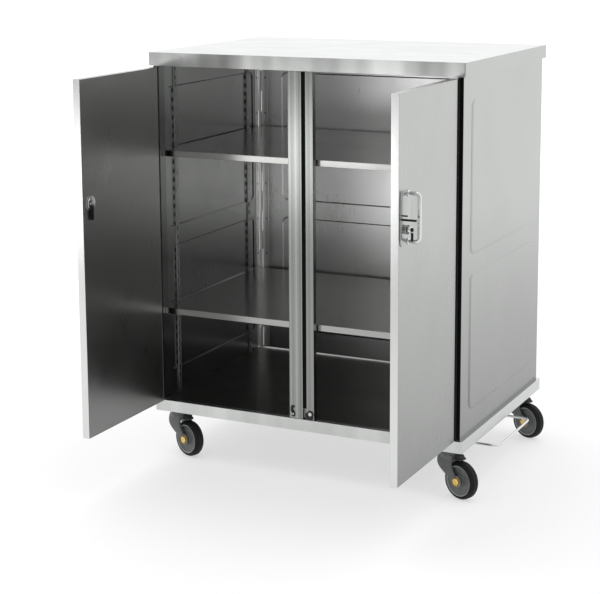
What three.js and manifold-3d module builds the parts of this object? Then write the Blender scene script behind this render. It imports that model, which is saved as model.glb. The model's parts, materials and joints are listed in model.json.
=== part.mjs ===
// Stainless-steel hospital cabinet trolley: a two-door cabinet with a rear door, two shelves,
// a tow bail and four braked swivel castors. Millimetres, +Z up, the front faces -Y.
import * as THREE from "three";
import { mergeVertices } from "three/addons/utils/BufferGeometryUtils.js";
import Module from "manifold-3d";

const wasm = await Module();
wasm.setup();

// Driving dimensions
const WIDTH = 910;
const DEPTH = 650;
const HEIGHT = 1130;
const CASTOR_HEIGHT = 130;
const SHEET = 1.5;
const GAP = 0.3;
const TOP_LIP = 36;
const BASE_LIP = 32;
const LIP_RETURN = 14;
const CORNER_RADIUS = 5;

// Side panels, posts, mullion and shelves
const PANEL_INSET = 10;
const PANEL_FRONT_SETBACK = 11;
const PANEL_REAR_SETBACK = 6;
const PRESSING_HEIGHT = 2.5;
const PRESSING_RADIUS = 20;
const PRESSING_MARGIN = 62;
const PRESSING_SPLIT = 50;
const PRESSING_SPLIT_LEVEL = 0.48;
const REAR_STOP_WIDTH = 20;
const POST_WIDTH = 13;
const POST_DEPTH = 29;
const MULLION_WIDTH = 72;
const MULLION_DEPTH = 18;
const GROOVE_WIDTH = 11;
const GROOVE_DEPTH = 9;
const GROOVE_OFFSET = 3;
const SHELF_HEIGHTS = { upper_shelf: 862, lower_shelf: 421 };
const SHELF_LIP = 17;
const SHELF_SETBACK = 24;
const SHELF_DEPTH = 578;
const STRIP_WIDTH = 16;
const STRIP_THICKNESS = 3;
const STRIP_SETBACKS = { front: 108, rear: 535 };
const CLIP_REACH = 10;
const CLIP_HEIGHT = 8;

// Doors and hinges: u runs from the hinge pin to the free edge, v runs into the cabinet
const HINGE_INSET = 22;
const HINGE_SETBACK = 6;
const DOOR_START = 21;
const DOOR_WIDTH = 372;
const DOOR_THICKNESS = 20;
const DOOR_FACE = -5;
const DOOR_CLEARANCE = 3;
const OPEN_ANGLE = Math.PI / 2;
const BARREL_RADIUS = 4;
const PIN_RADIUS = 1.6;
const BARREL_BORE = 1.9;
const BARREL_SIDES = 10;
const KNUCKLES = 15;
const KNUCKLE_GAP = 0.6;
const LEAF = 1.2;
const FIXED_LEAF = 1;
const REAR_HINGE_INSET = 18;
const REAR_HINGE_SETBACK = 35;
const REAR_LEAF_WIDTH = 24;
const REAR_PANEL_OFFSET = 4.2;
const REAR_DOOR_START = 8;
const REAR_RETURN = 10;
const REAR_FREE_GAP = 14;
const SEAL_WIDTH = 6;

// Locks, handle and catches
const LOCK_HEIGHT = 775;
const LOCK_U = 358;
const PLUG_RADIUS = 6;
const BARREL_LOCK_RADIUS = 9;
const CAM_LENGTH = 44;
const CAM_WIDTH = 14;
const CAM_THICKNESS = 2.5;
const KNOB_RADIUS = 14;
const KNOB_DEPTH = 14;
const GRIP_U = 341;
const GRIP_RADIUS = 5;
const GRIP_STANDOFF = 30;
const GRIP_BEND = 9;
const GRIP_TOP = 857;
const GRIP_BOTTOM = 745;
const PLATE_WIDTH = 56;
const PLATE_HEIGHT = 128;
const PLATE_CENTRE_Z = 801;
const PLATE_THICKNESS = 3;

const CATCH_LIFT = 14;
const CATCH_THICKNESS = 3;
const TURN_BUTTON_X = -26;
const TURN_BUTTON_WIDTH = 8;
const TURN_BUTTON_ABOVE = 22;
const TURN_BUTTON_BELOW = 8;
const TURN_BUTTON_RADIUS = 6;
const CATCH_CASE_X = 25;
const CATCH_CASE_WIDTH = 20;
const CATCH_CASE_ABOVE = 18;
const CATCH_CASE_BELOW = 12;
const WINDOW_WIDTH = 10;
const WINDOW_ABOVE = 10;
const WINDOW_BELOW = 4;
const KEY_THICKNESS = 2;
const KEY_LENGTH = 24;
const KEY_BOW = 14;
const KEY_BOW_ABOVE = 8;
const KEY_BOW_BELOW = 22;
const BLADE_HALF_HEIGHT = 4;

// Castors: local +X is the trailing direction
const WHEEL_RADIUS = 50;
const TYRE_WIDTH = 28;
const HUB_RADIUS = 36;
const HUB_WIDTH = 22;
const AXLE_RADIUS = 4;
const TRAIL = 42;
const CASTOR_X = 404;
const CASTOR_SETBACK = 48;
const CASTOR_YAW = THREE.MathUtils.degToRad(-22);
const HOUSING_RADIUS = 27;
const HOUSING_TOP = 128.5;
const CROWN = 104;
const CHEEK_GAP = 15.5;
const CHEEK_THICKNESS = 4;
const STEM_RADIUS = 8;
const CHANNEL_WIDTH = 88;
const WHEEL_SEGMENTS = 28;
const PEDAL_HALF_WIDTH = 11;
const PEDAL_HEIGHT = 108;

// Tow bail
const ROD_RADIUS = 3.5;
const BAIL_LENGTH = 264;
const BAIL_REACH = 104;
const BAIL_PIVOT_X = 384;
const BAIL_PIVOT_Z = 98;
const BAIL_CORNER = 30;
const BAIL_CLIP = 18;

// Derived values
const halfWidth = WIDTH / 2;
const frontY = -DEPTH / 2;
const rearY = DEPTH / 2;
const topZ = HEIGHT;
const openingTop = HEIGHT - TOP_LIP;
const openingBottom = CASTOR_HEIGHT + BASE_LIP;
const panelX = halfWidth - PANEL_INSET;
const panelInnerX = panelX - SHEET;
const panelFrontY = frontY + PANEL_FRONT_SETBACK;
const panelRearY = rearY - PANEL_REAR_SETBACK;
const doorBottom = openingBottom + DOOR_CLEARANCE;
const doorTop = openingTop - DOOR_CLEARANCE;
const hingeX = halfWidth - HINGE_INSET;
const hingeY = frontY + HINGE_SETBACK;
const doorEnd = DOOR_START + DOOR_WIDTH;
const doorBack = DOOR_FACE + DOOR_THICKNESS;

// Materials
function metal(color, roughness, metalness = 1) {
  return new THREE.MeshStandardMaterial({ color, roughness, metalness });
}
const brushed = () => metal(0xc6c9c8, 0.3);
const polished = () => metal(0xe2e4e4, 0.12);
const dullSteel = () => metal(0x9a9c9c, 0.45);
const blackPlastic = () => metal(0x151515, 0.5, 0);
const greyHousing = () => metal(0x6b6e6d, 0.5, 0.1);
const blackRubber = () => metal(0x1b1b1c, 0.85, 0);
const greyHub = () => metal(0x4c4f50, 0.5, 0);

// Solid helpers: plain geometry in, closed geometry out
function toSolid(geometry) {
  const plain = geometry.clone();
  plain.deleteAttribute("normal");
  plain.deleteAttribute("uv");
  const merged = mergeVertices(plain, 1e-4);
  return new wasm.Manifold(
    new wasm.Mesh({
      numProp: 3,
      vertProperties: merged.attributes.position.array,
      triVerts: new Uint32Array(merged.index.array),
    }),
  );
}

function toGeometry(solid) {
  const mesh = solid.getMesh();
  const geometry = new THREE.BufferGeometry();
  geometry.setAttribute("position", new THREE.BufferAttribute(mesh.vertProperties, 3));
  geometry.setIndex(new THREE.BufferAttribute(mesh.triVerts, 1));
  geometry.computeVertexNormals();
  return geometry;
}

function join(...pieces) {
  return toGeometry(pieces.map(toSolid).reduce((sum, piece) => sum.add(piece)));
}

function cut(body, ...tools) {
  return toGeometry(tools.map(toSolid).reduce((rest, tool) => rest.subtract(tool), toSolid(body)));
}

// A box between two corners
function box(x0, x1, y0, y1, z0, z1) {
  const geometry = new THREE.BoxGeometry(Math.abs(x1 - x0), Math.abs(y1 - y0), Math.abs(z1 - z0));
  return geometry.translate((x0 + x1) / 2, (y0 + y1) / 2, (z0 + z1) / 2);
}

// An upright prism over a plan outline of [x, y] points
function prism(points, z0, z1) {
  const shape = new THREE.Shape(points.map(([x, y]) => new THREE.Vector2(x, y)));
  const geometry = new THREE.ExtrudeGeometry(shape, { depth: z1 - z0, bevelEnabled: false });
  return geometry.translate(0, 0, z0);
}

// An upright cylinder
function post(x, y, z0, z1, radius, sides) {
  const geometry = new THREE.CylinderGeometry(radius, radius, z1 - z0, sides);
  return geometry.rotateX(Math.PI / 2).translate(x, y, (z0 + z1) / 2);
}

// A cylinder along Y
function peg(x, z, y0, y1, radius, sides) {
  const geometry = new THREE.CylinderGeometry(radius, radius, Math.abs(y1 - y0), sides);
  return geometry.translate(x, (y0 + y1) / 2, z);
}

// A rectangle with round corners, centred on (cx, cy)
function roundedRectangle(cx, cy, width, height, radius) {
  const shape = new THREE.Shape();
  const left = cx - width / 2;
  const right = cx + width / 2;
  const low = cy - height / 2;
  const high = cy + height / 2;
  shape.moveTo(left + radius, low);
  shape.lineTo(right - radius, low);
  shape.absarc(right - radius, low + radius, radius, -Math.PI / 2, 0);
  shape.lineTo(right, high - radius);
  shape.absarc(right - radius, high - radius, radius, 0, Math.PI / 2);
  shape.lineTo(left + radius, high);
  shape.absarc(left + radius, high - radius, radius, Math.PI / 2, Math.PI);
  shape.lineTo(left, low + radius);
  shape.absarc(left + radius, low + radius, radius, Math.PI, 1.5 * Math.PI);
  return shape;
}

function slab(cx, cy, width, height, radius, z0, z1, segments = 4) {
  const shape = roundedRectangle(cx, cy, width, height, radius);
  const options = { depth: z1 - z0, bevelEnabled: false, curveSegments: segments };
  return new THREE.ExtrudeGeometry(shape, options).translate(0, 0, z0);
}

const cabinet = new THREE.Group();

function piece(name, geometry, material, parent = cabinet) {
  const mesh = new THREE.Mesh(geometry, material);
  mesh.name = name;
  parent.add(mesh);
  return mesh;
}

// A shallow tray: one flat sheet, four lips folded down and a narrow return inside them
function foldedTray(bottom, top) {
  const inner = 2 * SHEET;
  const opening = 2 * (SHEET + LIP_RETURN);
  const shell = slab(0, 0, WIDTH, DEPTH, CORNER_RADIUS, bottom, top);
  const low = bottom + SHEET;
  const high = top - SHEET;
  const hollow = slab(0, 0, WIDTH - inner, DEPTH - inner, CORNER_RADIUS - SHEET, low, high);
  const mouth = box(
    -(WIDTH - opening) / 2,
    (WIDTH - opening) / 2,
    -(DEPTH - opening) / 2,
    (DEPTH - opening) / 2,
    bottom - 1,
    bottom + 2 * SHEET,
  );
  return cut(shell, hollow, mouth);
}

piece("top_slab", foldedTray(openingTop, topZ), brushed());
piece("base_tray", foldedTray(CASTOR_HEIGHT, openingBottom), brushed());

// The ceiling sheet lies on the slab's inner return
const linerZ = openingTop + SHEET + GAP;
const linerMargin = 2 * (SHEET + GAP);
piece(
  "top_liner",
  slab(0, 0, WIDTH - linerMargin, DEPTH - linerMargin, CORNER_RADIUS, linerZ, linerZ + SHEET),
  brushed(),
);

// A sheet with two pressed fields, one above the other, made flat: x runs along it, y up it.
// The fields stand proud on the +Z side and are hollow on the other.
function pressedSheet(width, height) {
  const split = height * PRESSING_SPLIT_LEVEL;
  const fields = [
    [PRESSING_MARGIN, split - PRESSING_SPLIT / 2],
    [split + PRESSING_SPLIT / 2, height - PRESSING_MARGIN],
  ];
  const slope = PRESSING_HEIGHT + 1;
  const options = {
    depth: SHEET,
    curveSegments: 3,
    bevelThickness: PRESSING_HEIGHT,
    bevelSize: slope,
    bevelOffset: -slope,
    bevelSegments: 1,
  };
  function field(low, high, inset) {
    const fieldWidth = width - 2 * (PRESSING_MARGIN + inset);
    const fieldHeight = high - low - 2 * inset;
    const radius = PRESSING_RADIUS - inset;
    const shape = roundedRectangle(width / 2, (low + high) / 2, fieldWidth, fieldHeight, radius);
    return new THREE.ExtrudeGeometry(shape, options);
  }
  const raised = fields.map(([low, high]) => field(low, high, 0));
  const hollows = fields.map(([low, high]) => field(low, high, SHEET).translate(0, 0, -SHEET));
  const below = box(-1, width + 1, -1, height + 1, -4 * PRESSING_HEIGHT, 0);
  return cut(join(box(0, width, 0, height, 0, SHEET), ...raised), ...hollows, below);
}

// Stands a flat sheet upright: its x axis goes to along, its y axis to +Z
function stand(geometry, along, corner) {
  const up = new THREE.Vector3(0, 0, 1);
  const out = new THREE.Vector3().crossVectors(along, up);
  geometry.applyMatrix4(new THREE.Matrix4().makeBasis(along, up, out));
  return geometry.translate(corner.x, corner.y, corner.z);
}

const panelBottom = openingBottom + GAP;
const panelTop = openingTop - GAP;

// A side panel is a pressed sheet; the right one carries the rear door's stop on its inner face
const rearPinX = -(halfWidth - REAR_HINGE_INSET);
const rearPinY = rearY - REAR_HINGE_SETBACK;
const rearStopY = rearPinY + REAR_PANEL_OFFSET - GAP;

function sidePanel(side) {
  const length = panelRearY - panelFrontY;
  const along = new THREE.Vector3(0, side, 0);
  const startY = side > 0 ? panelFrontY : panelRearY;
  const corner = new THREE.Vector3(side * panelInnerX, startY, panelBottom);
  return stand(pressedSheet(length, panelTop - panelBottom), along, corner);
}

function rearStop() {
  const inner = panelInnerX - REAR_STOP_WIDTH;
  return box(inner, panelInnerX + SHEET / 2, rearStopY - SHEET, rearStopY, doorBottom, doorTop);
}
piece("left_side_panel", sidePanel(-1), brushed());
piece("right_side_panel", join(sidePanel(1), rearStop()), brushed());

// A front post: a channel folded round the inner face of a side panel's front edge
function frontPost(side) {
  const outer = side * (panelInnerX - GAP);
  const inner = side * (panelInnerX - GAP - POST_WIDTH);
  const front = panelFrontY + 2 * GAP;
  const back = front + POST_DEPTH;
  const shell = box(outer, inner, front, back, panelBottom, panelTop);
  const hollow = box(
    outer - side * SHEET,
    inner + side * SHEET,
    front + SHEET,
    back + 1,
    panelBottom - 1,
    panelTop + 1,
  );
  return cut(shell, hollow);
}

const sides = { left: -1, right: 1 };
for (const [word, side] of Object.entries(sides)) {
  piece(`${word}_front_post`, frontPost(side), polished());
}

// The mullion stands flush with the slab and tray, with a groove down its face
function mullionOutline() {
  const half = MULLION_WIDTH / 2;
  const grooveLeft = GROOVE_OFFSET;
  const grooveRight = GROOVE_OFFSET + GROOVE_WIDTH;
  const front = frontY + 1;
  const back = front + MULLION_DEPTH;
  return [
    [-half, front],
    [grooveLeft, front],
    [grooveLeft, front + GROOVE_DEPTH],
    [grooveRight, front + GROOVE_DEPTH],
    [grooveRight, front],
    [half, front],
    [half, back],
    [half - SHEET, back],
    [half - SHEET, front + SHEET],
    [grooveRight + SHEET, front + SHEET],
    [grooveRight + SHEET, front + GROOVE_DEPTH + SHEET],
    [grooveLeft - SHEET, front + GROOVE_DEPTH + SHEET],
    [grooveLeft - SHEET, front + SHEET],
    [-half + SHEET, front + SHEET],
    [-half + SHEET, back],
    [-half, back],
  ];
}
piece("mullion", prism(mullionOutline(), panelBottom, panelTop), polished());

// Shelves: a sheet with lips folded down at the front and rear, notched round the front posts
const shelfX = panelInnerX - STRIP_THICKNESS - 3 * GAP;
const shelfFront = frontY + SHELF_SETBACK;
const shelfRear = shelfFront + SHELF_DEPTH;
const notchX = panelInnerX - POST_WIDTH - 3 * GAP;
const notchY = panelFrontY + POST_DEPTH + 4 * GAP;

function shelf(top) {
  const plan = [
    [-notchX, shelfFront],
    [notchX, shelfFront],
    [notchX, notchY],
    [shelfX, notchY],
    [shelfX, shelfRear],
    [-shelfX, shelfRear],
    [-shelfX, notchY],
    [-notchX, notchY],
  ];
  const sheet = prism(plan, top - SHEET, top);
  const front = box(-notchX, notchX, shelfFront, shelfFront + SHEET, top - SHELF_LIP, top);
  const rear = box(-shelfX, shelfX, shelfRear - SHEET, shelfRear, top - SHELF_LIP, top);
  return join(sheet, front, rear);
}
for (const [name, height] of Object.entries(SHELF_HEIGHTS)) {
  piece(name, shelf(height), polished());
}

// Shelf strips stand against the side panels, each with a clip under each shelf
function shelfStrip(side, setback) {
  const outer = side * (panelInnerX - GAP);
  const face = side * (panelInnerX - GAP - STRIP_THICKNESS);
  const tip = face - side * CLIP_REACH;
  const y = frontY + setback;
  const strip = box(outer, face, y, y + STRIP_WIDTH, panelBottom, panelTop);
  const clips = Object.values(SHELF_HEIGHTS).map((height) => {
    const under = height - SHEET - GAP;
    return box(face + side, tip, y + 2, y + STRIP_WIDTH - 2, under - CLIP_HEIGHT, under);
  });
  return join(strip, ...clips);
}
for (const [word, side] of Object.entries(sides)) {
  for (const [place, setback] of Object.entries(STRIP_SETBACKS)) {
    piece(`${word}_${place}_shelf_strip`, shelfStrip(side, setback), dullSteel());
  }
}

// Castor channels: a web across the tray's mouth, folded up at both edges, with two castor stems
const castorY = DEPTH / 2 - CASTOR_SETBACK;
const channelHalf = CHANNEL_WIDTH / 2;
const channelLength = halfWidth - SHEET - 2 * GAP;

function castorChannel(centreY) {
  const low = CASTOR_HEIGHT + 2 * SHEET + 2 * GAP;
  const high = openingBottom - SHEET - GAP;
  const y0 = centreY - channelHalf;
  const y1 = centreY + channelHalf;
  const shell = box(-channelLength, channelLength, y0, y1, low, high);
  const wall = 2 * SHEET;
  const over = channelLength + 1;
  const hollow = box(-over, over, y0 + wall, y1 - wall, low + wall, high + 1);
  const stems = [-CASTOR_X, CASTOR_X].map((x) => post(x, centreY, CROWN + 3, low + 1, STEM_RADIUS, 12));
  return join(cut(shell, hollow), ...stems);
}
piece("front_castor_channel", castorChannel(-castorY), dullSteel());
piece("rear_castor_channel", castorChannel(castorY), dullSteel());

// Piano hinges, made round a pin at the origin, from z = 0 to the hinge's length.
// The fixed leaf's knuckles are the even ones.
function barrel(length, first) {
  const pitch = length / KNUCKLES;
  const knuckles = [];
  for (let i = first; i < KNUCKLES; i += 2) {
    const low = i * pitch + KNUCKLE_GAP / 2;
    const high = (i + 1) * pitch - KNUCKLE_GAP / 2;
    knuckles.push([low, high]);
  }
  return knuckles;
}

// Joins a leaf's sheet pieces to its knuckles: lug(low, high) makes the piece between them
function hingeLeaf(length, first, sheets, lug) {
  const knuckles = barrel(length, first);
  const solid = knuckles.map(([low, high]) => post(0, 0, low, high, BARREL_RADIUS, BARREL_SIDES));
  const lugs = knuckles.map(([low, high]) => lug(low, high));
  const bore = post(0, 0, -1, length + 1, BARREL_BORE, BARREL_SIDES);
  return cut(join(...sheets, ...solid, ...lugs), bore);
}

const frontHingeLength = doorTop - doorBottom;
const leafPlane = BARREL_RADIUS + GAP;

// The front hinge's fixed leaf lies on the post's face, behind the barrel
function fixedFrontLeaf(side) {
  const outer = side * (panelInnerX - hingeX - GAP);
  const inner = outer - side * (POST_WIDTH - GAP);
  const plate = box(outer, inner, leafPlane, leafPlane + FIXED_LEAF, 0, frontHingeLength);
  const lug = (low, high) => box(side * -1.2, side * 1.2, BARREL_BORE + 0.6, leafPlane + 0.2, low, high);
  return hingeLeaf(frontHingeLength, 0, [plate], lug);
}

// The moving leaf runs from the barrel to the door and folds back along the door's edge
function movingFrontLeaf(side) {
  const start = -side * leafPlane;
  const end = -side * (DOOR_START - GAP);
  const plate = box(start, end, -LEAF / 2, LEAF / 2, 0, frontHingeLength);
  const fold = box(end, end + side * LEAF, -LEAF / 2, doorBack - GAP, 0, frontHingeLength);
  const lug = (low, high) => box(-side * (BARREL_BORE + 0.6), start - side, -LEAF / 2, LEAF / 2, low, high);
  return hingeLeaf(frontHingeLength, 1, [plate, fold], lug);
}

function hingePin(length) {
  return post(0, 0, 0, length, PIN_RADIUS, BARREL_SIDES);
}

// A front door in its closed place relative to its hinge pin, turned open by its group
function frontDoor(word, side) {
  const fixed = new THREE.Group();
  fixed.position.set(side * hingeX, hingeY, doorBottom);
  cabinet.add(fixed);
  piece(`${word}_hinge_fixed_leaf`, fixedFrontLeaf(side), polished(), fixed);
  piece(`${word}_hinge_pin`, hingePin(frontHingeLength), polished(), fixed);

  const door = new THREE.Group();
  door.position.set(side * hingeX, hingeY, doorBottom);
  door.rotation.z = side * OPEN_ANGLE;
  cabinet.add(door);
  piece(`${word}_hinge_moving_leaf`, movingFrontLeaf(side), polished(), door);

  const start = -side * DOOR_START;
  const end = -side * doorEnd;
  const lockX = -side * LOCK_U;
  const lockZ = LOCK_HEIGHT - doorBottom;
  const wall = side * SHEET;
  const shell = box(start, end, DOOR_FACE, doorBack, 0, frontHingeLength);
  const hollow = box(
    start - wall,
    end + wall,
    DOOR_FACE + SHEET,
    doorBack + 1,
    SHEET,
    frontHingeLength - SHEET,
  );
  const bore = peg(lockX, lockZ, DOOR_FACE - 1, doorBack + 1, BARREL_LOCK_RADIUS + GAP, 16);
  piece(`${word}_door_pan`, cut(shell, hollow, bore), brushed(), door);

  const edge = side * (SHEET + GAP);
  const backPlate = box(
    start - edge,
    end + edge,
    doorBack - SHEET,
    doorBack,
    SHEET + GAP,
    frontHingeLength - SHEET - GAP,
  );
  piece(`${word}_door_back`, cut(backPlate, bore), brushed(), door);
  return door;
}

// The lock plug carries its cam behind the door; the cam hangs down when unlocked
function lockPlug(x, z, front, extra = []) {
  const back = doorBack + 3;
  const shaft = peg(x, z, front, back + CAM_THICKNESS, PLUG_RADIUS, 14);
  const cam = box(x - CAM_WIDTH / 2, x + CAM_WIDTH / 2, back, back + CAM_THICKNESS, z - CAM_LENGTH, z + 8);
  return join(shaft, cam, ...extra);
}

function lockHousing(x, z, front) {
  const tube = peg(x, z, front, doorBack + 2.5, BARREL_LOCK_RADIUS, 16);
  return cut(tube, peg(x, z, front - 1, doorBack + 4, PLUG_RADIUS + GAP, 14));
}

// Left door: a flush cam lock
const leftDoor = frontDoor("left", -1);
const lockZ = LOCK_HEIGHT - doorBottom;
piece("left_lock_housing", lockHousing(LOCK_U, lockZ, DOOR_FACE - 3), polished(), leftDoor);
piece("left_lock", lockPlug(LOCK_U, lockZ, DOOR_FACE - 3), polished(), leftDoor);

// Right door: a D pull handle over an escutcheon with the lock's boss
const rightDoor = frontDoor("right", 1);
const plateFront = DOOR_FACE - GAP - PLATE_THICKNESS;
const bossFront = plateFront - 8;
const plateU = LOCK_U;
const plateZ = PLATE_CENTRE_Z - doorBottom;

// A rounded slab standing in the XZ plane
function standingSlab(cx, cz, width, height, radius, y0, y1) {
  return slab(cx, cz, width, height, radius, -y1, -y0).rotateX(Math.PI / 2);
}

// The grip is one round bar bent into a D, with its two feet on the escutcheon
function handleGrip() {
  const out = DOOR_FACE - GRIP_STANDOFF;
  const foot = plateFront - GAP;
  const top = GRIP_TOP - doorBottom;
  const bottom = GRIP_BOTTOM - doorBottom;
  const point = (y, z) => new THREE.Vector3(-GRIP_U, y, z);
  const path = new THREE.CurvePath();
  const straight = (from, to) => path.add(new THREE.LineCurve3(from, to));
  const curve = (from, corner, to) => path.add(new THREE.QuadraticBezierCurve3(from, corner, to));
  straight(point(foot, top), point(out + GRIP_BEND, top));
  curve(point(out + GRIP_BEND, top), point(out, top), point(out, top - GRIP_BEND));
  straight(point(out, top - GRIP_BEND), point(out, bottom + GRIP_BEND));
  curve(point(out, bottom + GRIP_BEND), point(out, bottom), point(out + GRIP_BEND, bottom));
  straight(point(out + GRIP_BEND, bottom), point(foot, bottom));
  const section = new THREE.Shape().absarc(0, 0, GRIP_RADIUS, 0, 2 * Math.PI);
  const options = { steps: 40, extrudePath: path, curveSegments: 5, bevelEnabled: false };
  return new THREE.ExtrudeGeometry(section, options);
}

const escutcheon = standingSlab(
  -plateU,
  plateZ,
  PLATE_WIDTH,
  PLATE_HEIGHT,
  12,
  plateFront,
  DOOR_FACE - GAP,
);
const boss = peg(-LOCK_U, lockZ, bossFront, doorBack + 2.5, BARREL_LOCK_RADIUS, 16);
const bossFlange = peg(-LOCK_U, lockZ, bossFront, plateFront + 1, 15, 20);
const plugBore = peg(-LOCK_U, lockZ, bossFront - 1, doorBack + 4, PLUG_RADIUS + GAP, 14);
piece("handle_escutcheon", cut(join(escutcheon, boss, bossFlange), plugBore), polished(), rightDoor);
piece("handle_grip", handleGrip(), polished(), rightDoor);

// The key stays in the right lock and turns with its plug
const keyFront = bossFront - KEY_LENGTH;
const keyLeft = -LOCK_U - KEY_THICKNESS / 2;
const keyRight = -LOCK_U + KEY_THICKNESS / 2;
const keyBlade = box(
  keyLeft,
  keyRight,
  keyFront + KEY_BOW - 2,
  bossFront + 1,
  lockZ - BLADE_HALF_HEIGHT,
  lockZ + BLADE_HALF_HEIGHT,
);
const keyBow = box(
  keyLeft,
  keyRight,
  keyFront,
  keyFront + KEY_BOW,
  lockZ - KEY_BOW_BELOW,
  lockZ + KEY_BOW_ABOVE,
);
piece("right_lock", lockPlug(-LOCK_U, lockZ, bossFront, [keyBlade, keyBow]), polished(), rightDoor);

// Rear door: one pressed sheet on a piano hinge in the left rear corner, opening outwards
const rearDoorWidth = panelInnerX - REAR_FREE_GAP - rearPinX - REAR_DOOR_START;
const rearHinge = new THREE.Group();
rearHinge.position.set(rearPinX, rearPinY, doorBottom);
cabinet.add(rearHinge);

// The rear fixed leaf lies against the left side panel, in front of the barrel
function rearFixedLeaf() {
  const wall = -(panelInnerX - GAP) - rearPinX;
  const plate = box(wall, wall + LEAF, -22, -1, 0, frontHingeLength);
  const lug = (low, high) => box(wall, -BARREL_BORE - 0.6, -3, -1, low, high);
  return hingeLeaf(frontHingeLength, 0, [plate], lug);
}

function rearMovingLeaf() {
  const plate = box(leafPlane + 0.2, REAR_LEAF_WIDTH, 2.4, 2.4 + LEAF, 0, frontHingeLength);
  const lug = (low, high) => box(1, leafPlane + 1, 2.4, 2.4 + LEAF, low, high);
  return hingeLeaf(frontHingeLength, 1, [plate], lug);
}
piece("rear_hinge_fixed_leaf", rearFixedLeaf(), polished(), rearHinge);
piece("rear_hinge_pin", hingePin(frontHingeLength), polished(), rearHinge);
piece("rear_hinge_moving_leaf", rearMovingLeaf(), polished(), rearHinge);

const latchX = rearDoorWidth + REAR_DOOR_START - 34;
const latchZ = LOCK_HEIGHT - doorBottom;
const rearSheet = stand(
  pressedSheet(rearDoorWidth, frontHingeLength),
  new THREE.Vector3(-1, 0, 0),
  new THREE.Vector3(REAR_DOOR_START + rearDoorWidth, REAR_PANEL_OFFSET, 0),
);
const rearEdge = REAR_DOOR_START + rearDoorWidth;
const rearFold = box(
  rearEdge - SHEET,
  rearEdge,
  REAR_PANEL_OFFSET,
  REAR_PANEL_OFFSET + REAR_RETURN,
  0,
  frontHingeLength,
);
const latchBore = peg(latchX, latchZ, -5, 20, PLUG_RADIUS + 2 * GAP, 14);
piece("rear_door_panel", cut(join(rearSheet, rearFold), latchBore), brushed(), rearHinge);

// The rear latch: a knob outside, and a cam that turns behind the right panel's stop
function rearLatch() {
  const outside = REAR_PANEL_OFFSET + SHEET + GAP;
  const inside = REAR_PANEL_OFFSET - SHEET - 2 * GAP;
  const knob = peg(latchX, latchZ, outside, outside + KNOB_DEPTH, KNOB_RADIUS, 20);
  const shaft = peg(latchX, latchZ, inside - CAM_THICKNESS, outside + 1, PLUG_RADIUS, 14);
  const cam = box(
    latchX - CAM_WIDTH / 2,
    latchX + CAM_WIDTH / 2,
    inside - CAM_THICKNESS,
    inside,
    latchZ - CAM_LENGTH,
    latchZ + 8,
  );
  return join(knob, shaft, cam);
}
piece("rear_latch", rearLatch(), dullSteel(), rearHinge);

// Black seals stand beside the front hinges, behind the way of the opening leaves
for (const [word, side] of Object.entries(sides)) {
  const outer = side * panelX;
  const sealFront = hingeY + LEAF + GAP;
  const sealBack = hingeY + leafPlane - GAP;
  const seal = box(outer, outer - side * SEAL_WIDTH, sealFront, sealBack, doorBottom, doorTop);
  piece(`${word}_hinge_seal`, seal, blackRubber());
}

// The left catch is a turn button on the mullion's foot, the right one a plunger in a black case
const mullionFace = frontY + 1 - GAP;
const catchFront = mullionFace - CATCH_THICKNESS;
const catchZ = openingBottom + CATCH_LIFT;

// A block on the mullion's face, from a centre x, a width and its reach above and below catchZ
function catchBlock(x, width, below, above, y0, y1) {
  return box(x - width / 2, x + width / 2, y0, y1, catchZ - below, catchZ + above);
}

function turnButton() {
  const arm = catchBlock(
    TURN_BUTTON_X,
    TURN_BUTTON_WIDTH,
    TURN_BUTTON_BELOW,
    TURN_BUTTON_ABOVE,
    catchFront,
    mullionFace,
  );
  return join(arm, peg(TURN_BUTTON_X, catchZ, catchFront, mullionFace, TURN_BUTTON_RADIUS, 14));
}

function catchCase() {
  const body = catchBlock(
    CATCH_CASE_X,
    CATCH_CASE_WIDTH,
    CATCH_CASE_BELOW,
    CATCH_CASE_ABOVE,
    catchFront,
    mullionFace,
  );
  const opening = catchBlock(
    CATCH_CASE_X,
    WINDOW_WIDTH,
    WINDOW_BELOW,
    WINDOW_ABOVE,
    catchFront - 1,
    mullionFace + 1,
  );
  return cut(body, opening);
}

function catchPlunger() {
  const clearance = 2 * GAP;
  return catchBlock(
    CATCH_CASE_X,
    WINDOW_WIDTH - 2 * clearance,
    WINDOW_BELOW - clearance,
    WINDOW_ABOVE - clearance,
    catchFront + GAP,
    mullionFace,
  );
}
piece("left_turn_button", turnButton(), blackPlastic());
piece("right_catch_case", catchCase(), blackPlastic());
piece("right_catch_plunger", catchPlunger(), polished());

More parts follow.
